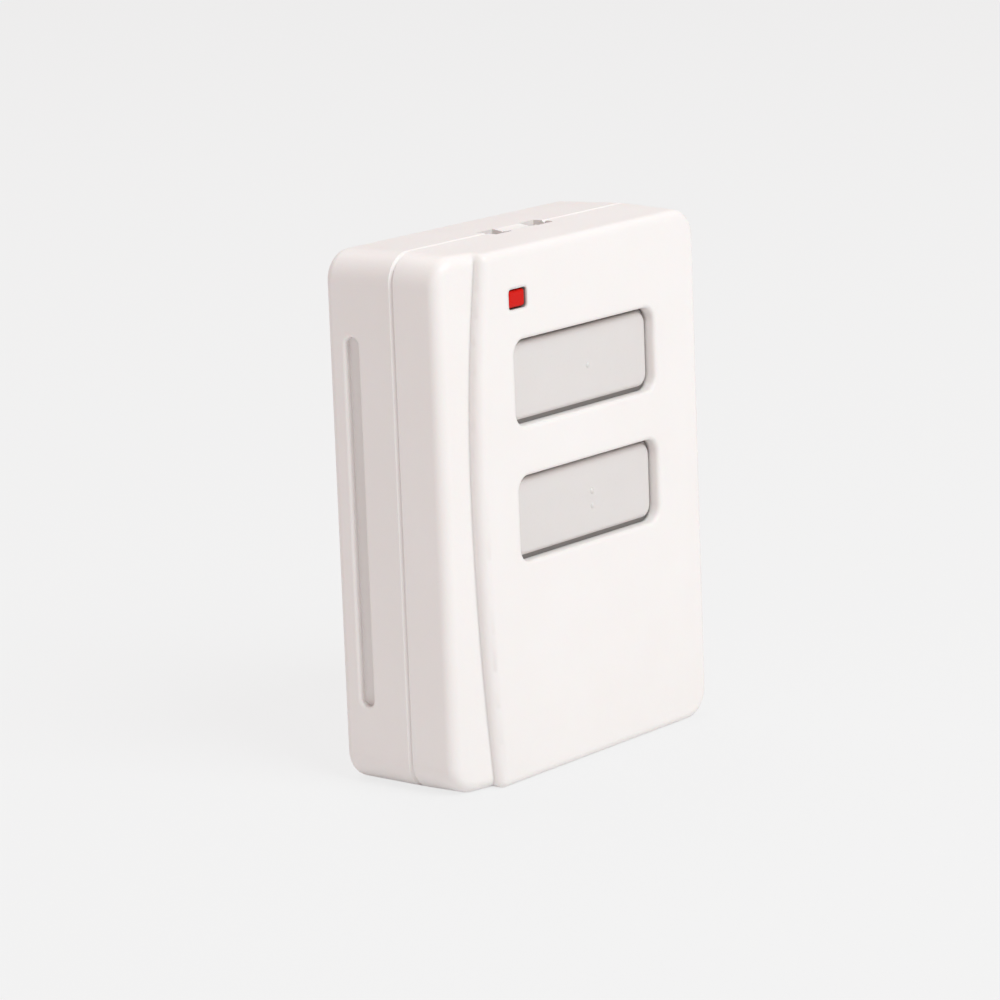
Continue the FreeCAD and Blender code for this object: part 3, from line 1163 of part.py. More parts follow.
trimmer = new_body("tuning_capacitor")
rear_block_part(trimmer, "TrimmerBase", "Sizes.TrimmerAcross", "Sizes.TrimmerUp",
                "Sizes.TrimmerSize", "Sizes.TrimmerSize", "Sizes.TrimmerHeight")
rotor_top = "(%s - Sizes.TrimmerHeight - Sizes.TrimmerRotorHeight)" % BOARD_REAR
stud(trimmer, "Rotor", "Sizes.TrimmerAcross", "Sizes.TrimmerUp", "Sizes.TrimmerRotorRadius",
     rotor_top, "%s - Sizes.TrimmerHeight / 2" % BOARD_REAR)
cut_block(trimmer, "RotorSlot", "Sizes.TrimmerAcross", "Sizes.TrimmerUp",
          "2 * Sizes.TrimmerRotorRadius + 1", "Sizes.TrimmerSlotWidth",
          rotor_top + " - 1", rotor_top + " + Sizes.TrimmerSlotDepth")

store = new_body("reservoir_capacitor")
groove_up = "(%s - Sizes.StoreGrooveUp)" % BOARD_REAR
store_top = "(%s - Sizes.StoreHeight)" % BOARD_REAR
turned(store, "StoreCan", "Sizes.StoreAcross", "Sizes.StoreUp", [
    ("0", BOARD_REAR),
    ("Sizes.StoreRadius", BOARD_REAR),
    ("Sizes.StoreRadius", groove_up + " + Sizes.StoreGrooveDepth"),
    ("Sizes.StoreRadius - Sizes.StoreGrooveDepth", groove_up),
    ("Sizes.StoreRadius", groove_up + " - Sizes.StoreGrooveDepth"),
    ("Sizes.StoreRadius", store_top + " + Sizes.StoreGrooveDepth"),
    ("Sizes.StoreRadius - Sizes.StoreGrooveDepth", store_top),
    ("0", store_top),
])

driver = new_body("driver_transistor")
stud(driver, "DriverCase", "Sizes.DriverAcross", "Sizes.DriverUp", "Sizes.DriverWidth / 2",
     "%s - Sizes.DriverHeight" % BOARD_REAR, BOARD_REAR)
flat_depth = "(Sizes.DriverWidth - Sizes.DriverDepth)"
cut_block(driver, "DriverFlat", "Sizes.DriverAcross",
          "Sizes.DriverUp + Sizes.DriverWidth / 2 - %s / 2 + 0.5" % flat_depth,
          "Sizes.DriverWidth + 1", flat_depth + " + 1",
          "%s - Sizes.DriverHeight - 1" % BOARD_REAR, BOARD_REAR + " + 1")


def wire_spine(sketch, half_span, tail_end, crest, bend):
    """The staple's middle line: up, across and down again, with round corners."""
    half = number(half_span)
    end = -number(tail_end)
    top = -number(crest)
    turn = number(bend)
    left_side = sketch.addGeometry(Part.LineSegment(
        FreeCAD.Vector(-half, end, 0), FreeCAD.Vector(-half, top - turn, 0)), False)
    left_bend = sketch.addGeometry(Part.ArcOfCircle(Part.Circle(
        FreeCAD.Vector(-half + turn, top - turn, 0), FreeCAD.Vector(0, 0, 1), turn),
        math.pi / 2, math.pi), False)
    across = sketch.addGeometry(Part.LineSegment(
        FreeCAD.Vector(-half + turn, top, 0), FreeCAD.Vector(half - turn, top, 0)), False)
    right_bend = sketch.addGeometry(Part.ArcOfCircle(Part.Circle(
        FreeCAD.Vector(half - turn, top - turn, 0), FreeCAD.Vector(0, 0, 1), turn),
        0, math.pi / 2), False)
    right_side = sketch.addGeometry(Part.LineSegment(
        FreeCAD.Vector(half, top - turn, 0), FreeCAD.Vector(half, end, 0)), False)
    for one, one_end, other, other_end in (
            (left_side, 2, left_bend, 2), (left_bend, 1, across, 1),
            (across, 2, right_bend, 2), (right_bend, 1, right_side, 1)):
        sketch.addConstraint(Sketcher.Constraint("Tangent", one, one_end, other, other_end))
    pin(sketch, "LeftEnd", left_side, 1, "-" + half_span, "-(%s)" % tail_end)
    pin(sketch, "RightEnd", right_side, 2, half_span, "-(%s)" % tail_end)
    inset = "%s - %s" % (half_span, bend)
    pin(sketch, "LeftBend", left_bend, 3, "-(%s)" % inset, "-(%s) - %s" % (crest, bend))
    pin(sketch, "RightBend", right_bend, 3, inset, "-(%s) - %s" % (crest, bend))


aerial = new_body("loop_antenna")
aerial_tail = "(%s + Sizes.AerialTail)" % BOARD_FRONT
spine = add_sketch(aerial, "XY_Plane", "AerialSpine", z="Sizes.AerialUp")
wire_spine(spine, "Sizes.AerialSpan / 2", aerial_tail, "(%s - Sizes.AerialRise)" % BOARD_REAR,
           "Sizes.AerialBend")
wire = add_sketch(aerial, "XZ_Plane", "AerialSection", z=aerial_tail)
circle(wire, "-Sizes.AerialSpan / 2", "Sizes.AerialUp", "Sizes.AerialWire")
aerial_sweep = aerial.newObject("PartDesign::AdditivePipe", "Aerial")
aerial_sweep.Profile = wire
aerial_sweep.Spine = (spine, [])


def make_column(name, across, first_up, width, height, rise, count):
    """A column of alike small parts, each its own solid, at the same spacing."""
    body = new_body(name)
    body.AllowCompound = True
    sketch = add_sketch(body, "XZ_Plane", "ColumnSketch", z="%s - %s" % (BOARD_REAR, rise))
    centred_rectangle(sketch, across, first_up, width, height)
    one = pad(body, sketch, "One", rise)
    column = body.newObject("PartDesign::LinearPattern", "Column")
    column.Originals = [one]
    column.Direction = (sketch, ["V_Axis"])
    column.setExpression("Length", "(%s - 1) * Sizes.SmallPartPitch" % count)
    column.setExpression("Occurrences", count)
    body.Tip = column
    return body


resistors = make_column("chip_resistors", "Sizes.SmallPartAcross", "Sizes.ResistorUp",
                        "Sizes.ResistorLength", "Sizes.ResistorWidth", "Sizes.ResistorHeight",
                        "Sizes.ResistorCount")
capacitors = make_column("chip_capacitors", "Sizes.CapacitorAcross", "Sizes.CapacitorUp",
                         "Sizes.CapacitorLength", "Sizes.CapacitorWidth",
                         "Sizes.CapacitorHeight", "Sizes.CapacitorCount")

# Every piece is checked for a sound state and shape, then written under its node name.
doc.recompute()
for item in doc.Objects:
    if "Invalid" in item.State or "Error" in item.State:
        raise RuntimeError("%s is %s" % (item.Label, item.State))
os.makedirs("parts", exist_ok=True)
for item in doc.Objects:
    if item.TypeId == "PartDesign::Body" and item is not side_band:
        if item.Shape.isNull() or not item.Shape.isValid():
            raise RuntimeError("%s has no sound shape" % item.Label)
        item.Shape.exportStep("parts/%s.step" % item.Label)
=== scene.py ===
import bpy
import numpy as np
from mathutils import Matrix, Vector


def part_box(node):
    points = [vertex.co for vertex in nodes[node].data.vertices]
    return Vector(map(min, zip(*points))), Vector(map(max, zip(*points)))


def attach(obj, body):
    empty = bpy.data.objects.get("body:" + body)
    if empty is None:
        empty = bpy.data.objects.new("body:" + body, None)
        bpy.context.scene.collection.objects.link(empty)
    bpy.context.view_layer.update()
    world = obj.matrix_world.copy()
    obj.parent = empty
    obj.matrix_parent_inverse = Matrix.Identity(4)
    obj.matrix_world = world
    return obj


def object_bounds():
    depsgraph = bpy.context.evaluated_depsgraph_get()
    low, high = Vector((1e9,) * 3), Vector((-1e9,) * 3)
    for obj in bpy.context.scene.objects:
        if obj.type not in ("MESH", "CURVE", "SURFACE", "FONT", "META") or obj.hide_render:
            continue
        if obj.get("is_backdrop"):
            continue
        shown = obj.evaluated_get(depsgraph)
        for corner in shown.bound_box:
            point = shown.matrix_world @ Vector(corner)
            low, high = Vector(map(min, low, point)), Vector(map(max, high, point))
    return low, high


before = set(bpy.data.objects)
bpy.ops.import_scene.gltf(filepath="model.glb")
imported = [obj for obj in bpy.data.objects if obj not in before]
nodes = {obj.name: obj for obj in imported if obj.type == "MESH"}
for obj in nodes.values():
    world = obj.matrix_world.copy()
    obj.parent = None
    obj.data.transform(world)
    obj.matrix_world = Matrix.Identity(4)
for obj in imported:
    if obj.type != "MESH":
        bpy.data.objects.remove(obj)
cad_low, cad_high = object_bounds()
MM = 0.001


# The two white shells
# Front and rear shell are injection moulded in white plastic from spark-eroded moulds, which leave
# a fine even grain. The walls are thin enough to glow a little where light gets behind them.

class Wire:
    """A shader socket. Arithmetic on it adds Math nodes, so a formula reads as one."""

    def __init__(self, finish, socket):
        self.finish = finish
        self.socket = socket

    def _math(self, operation, first, second):
        return self.finish.node("ShaderNodeMath", {"operation": operation}, [first, second])

    def __add__(self, other):
        return self._math("ADD", self, other)

    def __sub__(self, other):
        return self._math("SUBTRACT", self, other)

    def __mul__(self, other):
        return self._math("MULTIPLY", self, other)

    def __gt__(self, other):
        return self._math("GREATER_THAN", self, other)

    def __lt__(self, other):
        return self._math("LESS_THAN", self, other)

    def __radd__(self, other):
        return self._math("ADD", other, self)

    def __rsub__(self, other):
        return self._math("SUBTRACT", other, self)

    def __rmul__(self, other):
        return self._math("MULTIPLY", other, self)


class Finish:
    """One material with a Principled shader, whose nodes are made by one method."""

    def __init__(self, name):
        self.material = bpy.data.materials.new(name)
        self.material.use_nodes = True
        self.tree = self.material.node_tree
        self.shader = next(n for n in self.tree.nodes if n.type == "BSDF_PRINCIPLED")
        self.place = self.node("ShaderNodeTexCoord", output="Object")

    def node(self, kind, settings=None, inputs=(), output=0):
        """Add a node, set its properties, then fill its sockets by place or by name."""
        node = self.tree.nodes.new(kind)
        for name, value in (settings or {}).items():
            setattr(node, name, value)
        pairs = inputs.items() if isinstance(inputs, dict) else enumerate(inputs)
        for key, value in pairs:
            self.put(node.inputs[key], value)
        return Wire(self, node.outputs[output])

    def put(self, socket, value):
        """Link a wire to a socket, or set the socket's own value."""
        if isinstance(value, Wire):
            self.tree.links.new(value.socket, socket)
        else:
            socket.default_value = value

    def noise(self, waves, detail=2.0, roughness=0.5, place=None):
        """Cloudy noise from 0 to 1, with so many waves to the metre."""
        return self.node("ShaderNodeTexNoise", None, {
            "Vector": place or self.place, "Scale": waves, "Detail": detail,
            "Roughness": roughness})

    def between(self, value, low, high, start=0.0, end=1.0):
        """Carry a value from one range to another, held inside it."""
        return self.node("ShaderNodeMapRange", {"clamp": True}, [value, low, high, start, end])

    def spread(self, noise, start, end):
        """Spread the middle of a noise, where most of it lies, over a range."""
        return self.between(noise, 0.3, 0.7, start, end)

    def blend(self, share, first, second):
        """Mix two colours by a share from 0 to 1."""
        mixed = self.node("ShaderNodeMix", {"data_type": "RGBA"}, output=2)
        node = mixed.socket.node
        self.put(node.inputs[0], share)
        self.put(node.inputs[6], first)
        self.put(node.inputs[7], second)
        return mixed

    def bump(self, height, distance, strength, normal=None):
        """A bump whose full height is a distance in metres."""
        inputs = {"Height": height, "Distance": distance, "Strength": strength}
        if normal:
            inputs["Normal"] = normal
        return self.node("ShaderNodeBump", None, inputs)

    def set(self, **sockets):
        """Set or link the shader's sockets, spaces in their names as underscores."""
        for name, value in sockets.items():
            self.put(self.shader.inputs[name.replace("_", " ")], value)

    def give(self, *pieces):
        """Paint whole pieces with this finish."""
        for piece in pieces:
            piece.data.materials.clear()
            piece.data.materials.append(self.material)


def srgb(red, green, blue):
    """A colour given as screen values from 0 to 255, in linear light."""
    linear = []
    for part in (red, green, blue):
        part /= 255.0
        linear.append(part / 12.92 if part <= 0.04045 else ((part + 0.055) / 1.055) ** 2.4)
    return (*linear, 1.0)


def coordinates(finish):
    """The place on a piece as three wires, across, back and up, in metres."""
    apart = finish.node("ShaderNodeSeparateXYZ", None, [finish.place])
    outputs = apart.socket.node.outputs
    return Wire(finish, outputs["X"]), Wire(finish, outputs["Y"]), Wire(finish, outputs["Z"])


# Painted shade: a dark brown mixed into the plastic's colour where gaps and hollows lie in shade.
PAINTED_SHADE = srgb(62, 54, 48)
CLOUD_WAVES = 55.0
SPECK_WAVES = 2600.0
GRAIN_WAVES = 5200.0
SWIRL_WAVES = 1500.0
SMUDGE_WAVES = 140.0


def moulded_plastic(name, colour, shade, grain_depth, roughness, painted_shade=None, softness=None):
    """Moulded plastic: an even grain, faint clouds in the colour, and handling marks in the gloss.

    The function after the roughness gives the share, from 0 to 1, of painted shade, a dark brown
    mixed into the colour where narrow gaps and hollows lie in shade. A softness function gives the
    radius that rounds the shading of edges, as a mould's polish does.
    """
    finish = Finish(name)
    clouds = finish.noise(CLOUD_WAVES, 3.0)
    specks = finish.noise(SPECK_WAVES, 1.0)
    tone = finish.spread(clouds, 0.0, 0.6) + finish.between(specks, 0.62, 0.8, 0.0, 0.4)
    grain = finish.noise(GRAIN_WAVES, 2.0, 0.6)
    swirl = finish.noise(SWIRL_WAVES, 2.0, 0.5)
    smudges = finish.between(finish.noise(SMUDGE_WAVES, 4.0, 0.6), 0.45, 0.75)
    paint = finish.blend(tone, colour, shade)
    # Painted shade mixed into the colour where a gap or hollow lies in shade.
    if painted_shade:
        paint = finish.blend(painted_shade(finish), paint, PAINTED_SHADE)
    rounded = None
    if softness:
        rounded = finish.node("ShaderNodeBevel", {"samples": 6}, [softness(finish)])
    finish.set(Base_Color=paint,
               Roughness=roughness + 0.10 * smudges - 0.05 * swirl,
               Normal=finish.bump(grain * 0.7 + swirl * 0.3, grain_depth, 0.6, rounded),
               Subsurface_Weight=0.06, Subsurface_Scale=0.002, Specular_IOR_Level=0.42)
    return finish


FACE_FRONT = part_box("front_cover")[0].y
FACE_SOFTNESS = 0.75 * MM
SEAM_SOFTNESS = 0.02 * MM
SOFT_TO = 4.0 * MM
SHARP_FROM = 7.0 * MM


def face_softness(finish):
    """Soft shading on the face and its bowed step, which fades out towards the seam."""
    back = coordinates(finish)[1]
    return finish.between(back, FACE_FRONT + SOFT_TO, FACE_FRONT + SHARP_FROM,
                          FACE_SOFTNESS, SEAM_SOFTNESS)


# Painted shade in the slits by the keys and round the light window: the depths where it begins and
# where it is full, and its darkest share.
SLIT_RIM = 1.3 * MM
SLIT_OVERLAP = 0.2 * MM
SLIT_PAINTED_SHADE_STARTS = 1.6 * MM
SLIT_PAINTED_SHADE_FULL = 2.3 * MM
SLIT_PAINTED_SHADE = 0.5
WINDOW_PAINTED_SHADE_STARTS = 0.1 * MM
WINDOW_PAINTED_SHADE_FULL = 0.4 * MM
WINDOW_PAINTED_SHADE = 0.7
PAINTED_SHADE_ENDS = 4.5 * MM


def gap_painted_shade(finish):
    """Painted shade in the slits above and below the keys and round the light window, none behind.
    """
    across, back, up = coordinates(finish)
    slits = 0.0
    for key in ("upper_button", "lower_button"):
        low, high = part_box(key)
        beside = (across > low.x + SLIT_RIM) * (across < high.x - SLIT_RIM)
        above = (up > high.z - SLIT_RIM - SLIT_OVERLAP) * (up < high.z + SLIT_RIM)
        below = (up > low.z - SLIT_RIM) * (up < low.z + SLIT_RIM + SLIT_OVERLAP)
        slits = slits + beside * (above + below)
    # Painted shade that darkens further into the slit.
    in_slits = finish.between(back, FACE_FRONT + SLIT_PAINTED_SHADE_STARTS, FACE_FRONT + SLIT_PAINTED_SHADE_FULL,
                              0.0, SLIT_PAINTED_SHADE)
    # Painted shade round the light window's recess, darker deeper in.
    low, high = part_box("led_lens")
    window = (across > low.x) * (across < high.x) * (up > low.z) * (up < high.z)
    at_window = finish.between(back, FACE_FRONT + WINDOW_PAINTED_SHADE_STARTS,
                               FACE_FRONT + WINDOW_PAINTED_SHADE_FULL, 0.0, WINDOW_PAINTED_SHADE)
    return (slits * in_slits + window * at_window) * (back < FACE_FRONT + PAINTED_SHADE_ENDS)


# Fainter painted shade in the lanyard eye's left half and along the clip grooves' floors.
EYE_LEFT = -6.0 * MM
EYE_FRONT = -3.2 * MM
EYE_REAR = 1.5 * MM
EYE_PAINTED_SHADE_STARTS = 0.5 * MM
EYE_PAINTED_SHADE_FULL = 1.2 * MM
EYE_PAINTED_SHADE = 0.32
GROOVE_BOTTOM = 11.0 * MM
GROOVE_TOP = 64.4 * MM
GROOVE_FRONT = 5.4 * MM
GROOVE_REAR = 8.2 * MM
GROOVE_PAINTED_SHADE_STARTS = 0.4 * MM
GROOVE_PAINTED_SHADE_FULL = 1.0 * MM
GROOVE_PAINTED_SHADE = 0.09


def shell_painted_shade(finish):
    """Painted shade in the slits, fainter in the lanyard eye's left half and the clip grooves."""
    across, back, up = coordinates(finish)
    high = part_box("rear_cover")[1]
    # Painted shade in the eye's left half, darker deeper down.
    in_eye = (across > EYE_LEFT) * (across < 0.0) * (back > EYE_FRONT) * (back < EYE_REAR)
    eye = in_eye * finish.between(up, high.z - EYE_PAINTED_SHADE_FULL, high.z - EYE_PAINTED_SHADE_STARTS,
                                  EYE_PAINTED_SHADE, 0.0)
    aside = finish.node("ShaderNodeMath", {"operation": "ABSOLUTE"}, [across])
    # Painted shade in the clip grooves, darker towards their floors.
    in_groove = ((up > GROOVE_BOTTOM) * (up < GROOVE_TOP)
                 * (back > GROOVE_FRONT) * (back < GROOVE_REAR))
    groove = in_groove * finish.between(aside, high.x - GROOVE_PAINTED_SHADE_FULL,
                                        high.x - GROOVE_PAINTED_SHADE_STARTS, GROOVE_PAINTED_SHADE, 0.0)
    return gap_painted_shade(finish) + eye + groove


SHELL_WHITE = srgb(243, 239, 237)
SHELL_SHADE = srgb(240, 235, 232)
SHELL_GRAIN = 0.025 * MM
SHELL_ROUGHNESS = 0.42
# The shell gets painted shade in its slits, lanyard eye and clip grooves.
shell_plastic = moulded_plastic("White moulded shell", SHELL_WHITE, SHELL_SHADE, SHELL_GRAIN,
                                SHELL_ROUGHNESS, shell_painted_shade, face_softness)
shell_plastic.give(nodes["front_cover"], nodes["rear_cover"])


# The two keys
# The keys are moulded in light grey, with a smoother grain than the shell. The upper one has one
# small raised dot and the lower one has two, so that a finger can tell them apart.

KEY_GREY = srgb(223, 218, 216)
KEY_SHADE = srgb(217, 212, 209)
KEY_GRAIN = 0.018 * MM
KEY_ROUGHNESS = 0.46
# The keys' edges in the slits get the same painted shade.
key_plastic = moulded_plastic("Grey moulded key", KEY_GREY, KEY_SHADE, KEY_GRAIN, KEY_ROUGHNESS,
                              gap_painted_shade)
key_plastic.give(nodes["upper_button"], nodes["lower_button"])

DOT_RADIUS = 0.45 * MM
DOT_RISE = 0.24 * MM
DOT_SINK = 0.02 * MM
DOT_ACROSS = 1.9 * MM
DOT_DROP = 0.25 * MM
DOT_PITCH = 2.1 * MM
DOT_RINGS = 24
DOT_SIDES = 48


def touch_dot(across, face, up):
    """A low round dome on a face that looks along -Y, as a grid of rings times points.

    A ring at the share s of the radius stands DOT_RISE * (1 - s^2) proud of the face, and the
    outermost ring is sunk into the face.
    """
    share = np.linspace(1.0, 0.02, DOT_RINGS)[:, None]
    angle = np.linspace(0.0, 2.0 * np.pi, DOT_SIDES, endpoint=False)[None, :]
    height = DOT_RISE * (1.0 - share ** 2) - DOT_SINK * (share == 1.0)
    return np.stack([across + DOT_RADIUS * share * np.cos(angle),
                     face - height + 0.0 * angle,
                     up + DOT_RADIUS * share * np.sin(angle)], axis=-1)


def ring_skin(name, points, body, finish):
    """A closed piece from rings of points, shape (rings, points, 3) in metres, riding on a body.

    Four neighbours in the grid make one face, each ring joins its last point to its first, and the
    first and last ring get a cap each.
    """
    rings, around = points.shape[:2]
    index = np.arange(rings * around).reshape(rings, around)
    caps = [index[0, ::-1].tolist(), index[-1].tolist()]
    index = np.hstack([index, index[:, :1]])
    quads = np.stack([index[:-1, :-1], index[:-1, 1:], index[1:, 1:], index[1:, :-1]], axis=-1)
    mesh = bpy.data.meshes.new(name)
    mesh.from_pydata(points.reshape(-1, 3).tolist(), [], quads.reshape(-1, 4).tolist() + caps)
    mesh.shade_smooth()
    mesh.validate()
    piece = bpy.data.objects.new(name, mesh)
    bpy.context.scene.collection.objects.link(piece)
    finish.give(piece)
    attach(piece, body)


for node, body, count in (("upper_button", "upper_key", 1), ("lower_button", "lower_key", 2)):
    low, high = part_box(node)
    across = (low.x + high.x) / 2 + DOT_ACROSS
    middle = (low.z + high.z) / 2 - DOT_DROP
    for place in range(count):
        up = middle + (place - (count - 1) / 2) * DOT_PITCH
        dot = touch_dot(across, low.y, up)
        ring_skin("%s_dot_%d" % (body, place + 1), dot, body, key_plastic)


# The light window and its lamp
# The window is a pressed-in block of clear red acrylic. The lamp behind it is a 3 mm diode in
# tinted epoxy, soldered to the circuit board by two tinned legs.

window_red = Finish("Red acrylic window")
window_red.set(Base_Color=window_red.blend(window_red.noise(900.0),
                                           srgb(202, 14, 2), srgb(212, 18, 6)),
               Roughness=window_red.spread(window_red.noise(260.0), 0.22, 0.34),
               Specular_IOR_Level=0.13)
window_red.give(nodes["led_lens"])

lamp_red = Finish("Red epoxy lamp")
lamp_red.set(Base_Color=lamp_red.blend(lamp_red.noise(700.0), srgb(170, 20, 24), srgb(196, 40, 36)),
             Roughness=lamp_red.spread(lamp_red.noise(400.0), 0.08, 0.16))
lamp_red.give(nodes["status_led"])


# The circuit board
# A glass-fibre sheet with green solder mask. Copper tracks show through the mask as a lighter
# pattern, and the weave of the glass cloth shows faintly.

CLOTH_WAVES = 260.0
TRACK_CELLS = 190.0
TRACK_EDGE = 0.10, 0.14
TRACK_HEIGHT = 0.03 * MM

board_mask = Finish("Green solder mask")


def threads(direction):
    """The glass cloth's threads that run across one direction, as soft bands from 0 to 1."""
    return board_mask.node("ShaderNodeTexWave",
                           {"wave_type": "BANDS", "bands_direction": direction},
                           {"Vector": board_mask.place, "Scale": CLOTH_WAVES, "Distortion": 0.6})


warp = threads("X")
weft = threads("Z")
cells = board_mask.node("ShaderNodeTexVoronoi",
                        {"feature": "DISTANCE_TO_EDGE", "distance": "EUCLIDEAN"},
                        {"Vector": board_mask.place, "Scale": TRACK_CELLS, "Randomness": 0.55})
tracks = board_mask.between(cells, *TRACK_EDGE, 1.0, 0.0)
cloth = board_mask.blend(warp * weft, srgb(10, 74, 38), srgb(14, 84, 44))
board_mask.set(Base_Color=board_mask.blend(tracks, cloth, srgb(34, 118, 62)),
               Roughness=board_mask.spread(board_mask.noise(300.0), 0.30, 0.42),
               Coat_Weight=0.3,
               Normal=board_mask.bump(tracks + 0.15 * warp, TRACK_HEIGHT, 0.5))
board_mask.give(nodes["circuit_board"])


# Metal and plastic parts inside
# Screws are zinc plated and turned, contacts are nickel-plated spring strip, switch covers are
# stamped steel; switches, chips and capacitors are black moulded cases.

SCRATCH_WAVES = 3600.0
SCRATCH_STRETCH = 1.0, 0.06, 1.0
SCRATCH_DEPTH = 0.006 * MM
METAL_CLOUD_WAVES = 240.0


def plated_metal(name, colour, dark, roughness):
    """Plated metal: fine drawn lines in the gloss, and slightly darker clouds in the colour."""
    finish = Finish(name)
    along = finish.node("ShaderNodeMapping", None, {"Vector": finish.place,
                                                    "Scale": SCRATCH_STRETCH})
    drawn = finish.noise(SCRATCH_WAVES, 2.0, place=along)
    clouds = finish.noise(METAL_CLOUD_WAVES, 3.0)
    finish.set(Base_Color=finish.blend(finish.between(clouds, 0.35, 0.7), colour, dark),
               Metallic=1.0, Roughness=roughness + 0.12 * drawn,
               Normal=finish.bump(drawn, SCRATCH_DEPTH, 0.5))
    return finish


zinc = plated_metal("Zinc plated screw", srgb(206, 208, 212), srgb(176, 178, 184), 0.24)
zinc.give(nodes["board_screws"], nodes["housing_screws"])
nickel = plated_metal("Nickel plated strip", srgb(212, 206, 196), srgb(184, 178, 168), 0.2)
nickel.give(nodes["battery_positive_contact"], nodes["battery_negative_contact"],
            nodes["saw_resonator"], nodes["crystal"])
stamped = plated_metal("Stamped steel cover", srgb(200, 200, 202), srgb(172, 172, 176), 0.3)
stamped.give(nodes["upper_switch_cover"], nodes["lower_switch_cover"])
tinned = plated_metal("Tinned terminal", srgb(206, 202, 190), srgb(174, 170, 156), 0.34)
tinned.give(nodes["switch_terminals"])
copper = plated_metal("Copper aerial wire", srgb(204, 128, 84), srgb(168, 96, 62), 0.26)
copper.give(nodes["loop_antenna"])

black_case = moulded_plastic("Black moulded case", srgb(34, 34, 36), srgb(46, 45, 46),
                             0.02 * MM, 0.5)
black_case.give(nodes["upper_switch_body"], nodes["lower_switch_body"],
                nodes["upper_switch_plunger"], nodes["lower_switch_plunger"],
                nodes["microcontroller"], nodes["driver_transistor"], nodes["chip_resistors"])
sleeve = moulded_plastic("Capacitor sleeve", srgb(40, 44, 58), srgb(32, 34, 46), 0.01 * MM, 0.3)
sleeve.give(nodes["reservoir_capacitor"])
ceramic = moulded_plastic("Fired ceramic", srgb(190, 154, 108), srgb(172, 134, 92),
                          0.02 * MM, 0.45)
ceramic.give(nodes["tuning_capacitor"], nodes["chip_capacitors"])


# The battery
# One lithium cell in a shrunk film sleeve, plain dark blue, with bare steel at both ends. The
# positive end, on the right, shows more steel than the other.

BARE_RIGHT = 1.9 * MM
BARE_LEFT = 0.9 * MM
cell_skin = Finish("Cell sleeve and ends")
cell_low, cell_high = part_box("battery")
along_cell = coordinates(cell_skin)[0]
bare = (along_cell > cell_high.x - BARE_RIGHT) + (along_cell < cell_low.x + BARE_LEFT)
film = cell_skin.blend(cell_skin.noise(300.0, 3.0), srgb(30, 52, 108), srgb(38, 62, 122))
cell_skin.set(Base_Color=cell_skin.blend(bare, film, srgb(196, 194, 190)),
              Metallic=bare * 0.95,
              Roughness=cell_skin.spread(cell_skin.noise(500.0), 0.22, 0.36))
cell_skin.give(nodes["battery"])


# The photographer's table, lights and camera
# The transmitter stands on a plain pale table under a soft light high in front, with a weaker one
# above and behind and an even light from all round. The camera looks from the front left, above.

TABLE_GREY = srgb(242, 242, 242)
TABLE_REACH = 6.0
TABLE_GLOW = 0.87
table_mesh = bpy.data.meshes.new("table")
table_mesh.from_pydata([(-TABLE_REACH, -TABLE_REACH, 0), (TABLE_REACH, -TABLE_REACH, 0),
                        (TABLE_REACH, TABLE_REACH, 0), (-TABLE_REACH, TABLE_REACH, 0)],
                       [], [(0, 1, 2, 3)])
table = bpy.data.objects.new("table", table_mesh)
bpy.context.scene.collection.objects.link(table)
table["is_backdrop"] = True

table_top = Finish("Pale table")
table_top.set(Base_Color=TABLE_GREY, Roughness=0.9, Specular_IOR_Level=0.1)
glow = table_top.node("ShaderNodeEmission", None, {"Color": TABLE_GREY, "Strength": 1.0})
seen = table_top.node("ShaderNodeLightPath", output="Is Camera Ray")
light_path = seen.socket.node.outputs
mirrored = Wire(table_top, light_path["Is Glossy Ray"])
passed = Wire(table_top, light_path["Is Transmission Ray"])
looked_at = table_top.node("ShaderNodeMath", {"operation": "MINIMUM"},
                           [seen + mirrored + passed, 1.0])
lit = Wire(table_top, table_top.shader.outputs[0])
joined = table_top.node("ShaderNodeMixShader", None, [looked_at * TABLE_GLOW, lit, glow])
table_output = next(n for n in table_top.tree.nodes if n.type == "OUTPUT_MATERIAL")
table_top.put(table_output.inputs["Surface"], joined)
table_top.give(table)

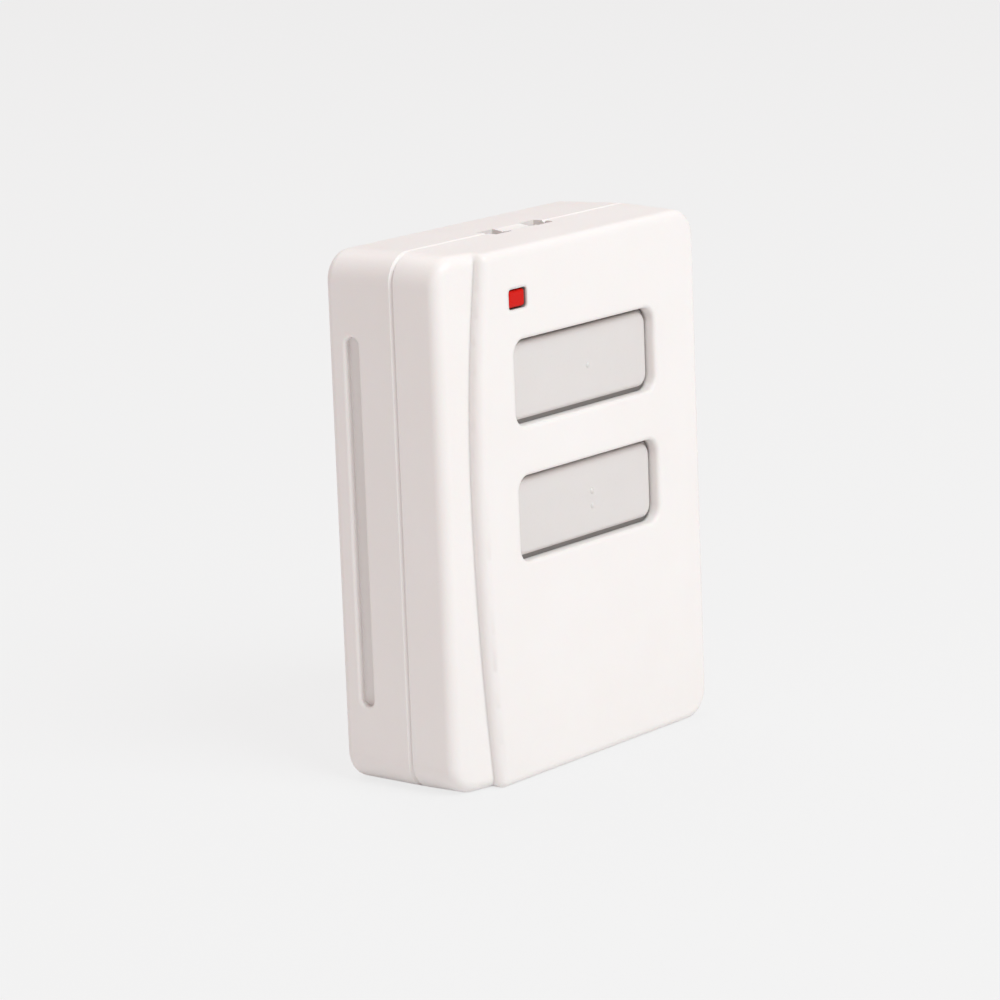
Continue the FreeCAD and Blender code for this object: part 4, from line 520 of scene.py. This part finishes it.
ROOM_COLOUR = (1.0, 0.866, 0.847, 1.0)
ROOM_STRENGTH = 0.533
world = bpy.data.worlds.new("Soft room")
bpy.context.scene.world = world
world.use_nodes = True
sky = world.node_tree
room = sky.nodes["Background"]
room.inputs["Color"].default_value = ROOM_COLOUR
room.inputs["Strength"].default_value = ROOM_STRENGTH
pale = sky.nodes.new("ShaderNodeBackground")
pale.inputs["Color"].default_value = TABLE_GREY
rays = sky.nodes.new("ShaderNodeLightPath")
choose = sky.nodes.new("ShaderNodeMixShader")
sky.links.new(rays.outputs["Is Camera Ray"], choose.inputs[0])
sky.links.new(room.outputs[0], choose.inputs[1])
sky.links.new(pale.outputs[0], choose.inputs[2])
sky.links.new(choose.outputs[0], sky.nodes["World Output"].inputs["Surface"])


def soft_light(name, place, aim, size, watts, colour):
    """A square soft light that hangs at a place and points at another."""
    data = bpy.data.lights.new(name, "AREA")
    data.shape = "SQUARE"
    data.size = size
    data.energy = watts
    data.color = colour
    light = bpy.data.objects.new(name, data)
    light.location = place
    light.rotation_euler = (Vector(aim) - Vector(place)).to_track_quat("-Z", "Y").to_euler()
    bpy.context.scene.collection.objects.link(light)


body_middle = (cad_low + cad_high) / 2
soft_light("key_light", place=(-0.10, -0.86, 0.98), aim=body_middle, size=0.7, watts=10.2,
           colour=(0.875, 0.98, 1.0))
soft_light("top_light", place=(0.2, 0.5, 1.2), aim=body_middle, size=0.8, watts=3.2,
           colour=(0.97, 1.0, 1.0))

CAMERA_PLACE = Vector((-0.497905, -0.392458, 0.169913))
CAMERA_RIGHT = Vector((0.61633519, -0.78659156, -0.0374787))
CAMERA_UP = Vector((0.18473385, 0.09815578, 0.97787466))
CAMERA_AHEAD = Vector((0.7655092, 0.60962215, -0.20580695))
camera_data = bpy.data.cameras.new("camera")
camera_data.sensor_width = 36.0
camera_data.lens = 162.475
camera_data.clip_start = 0.01
camera_data.clip_end = 50.0
camera = bpy.data.objects.new("camera", camera_data)
turn = Matrix((CAMERA_RIGHT, CAMERA_UP, -CAMERA_AHEAD)).transposed().to_4x4()
camera.matrix_world = Matrix.Translation(CAMERA_PLACE) @ turn
bpy.context.scene.collection.objects.link(camera)
bpy.context.scene.camera = camera
bpy.context.scene.view_settings.view_transform = "Standard"

low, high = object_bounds()
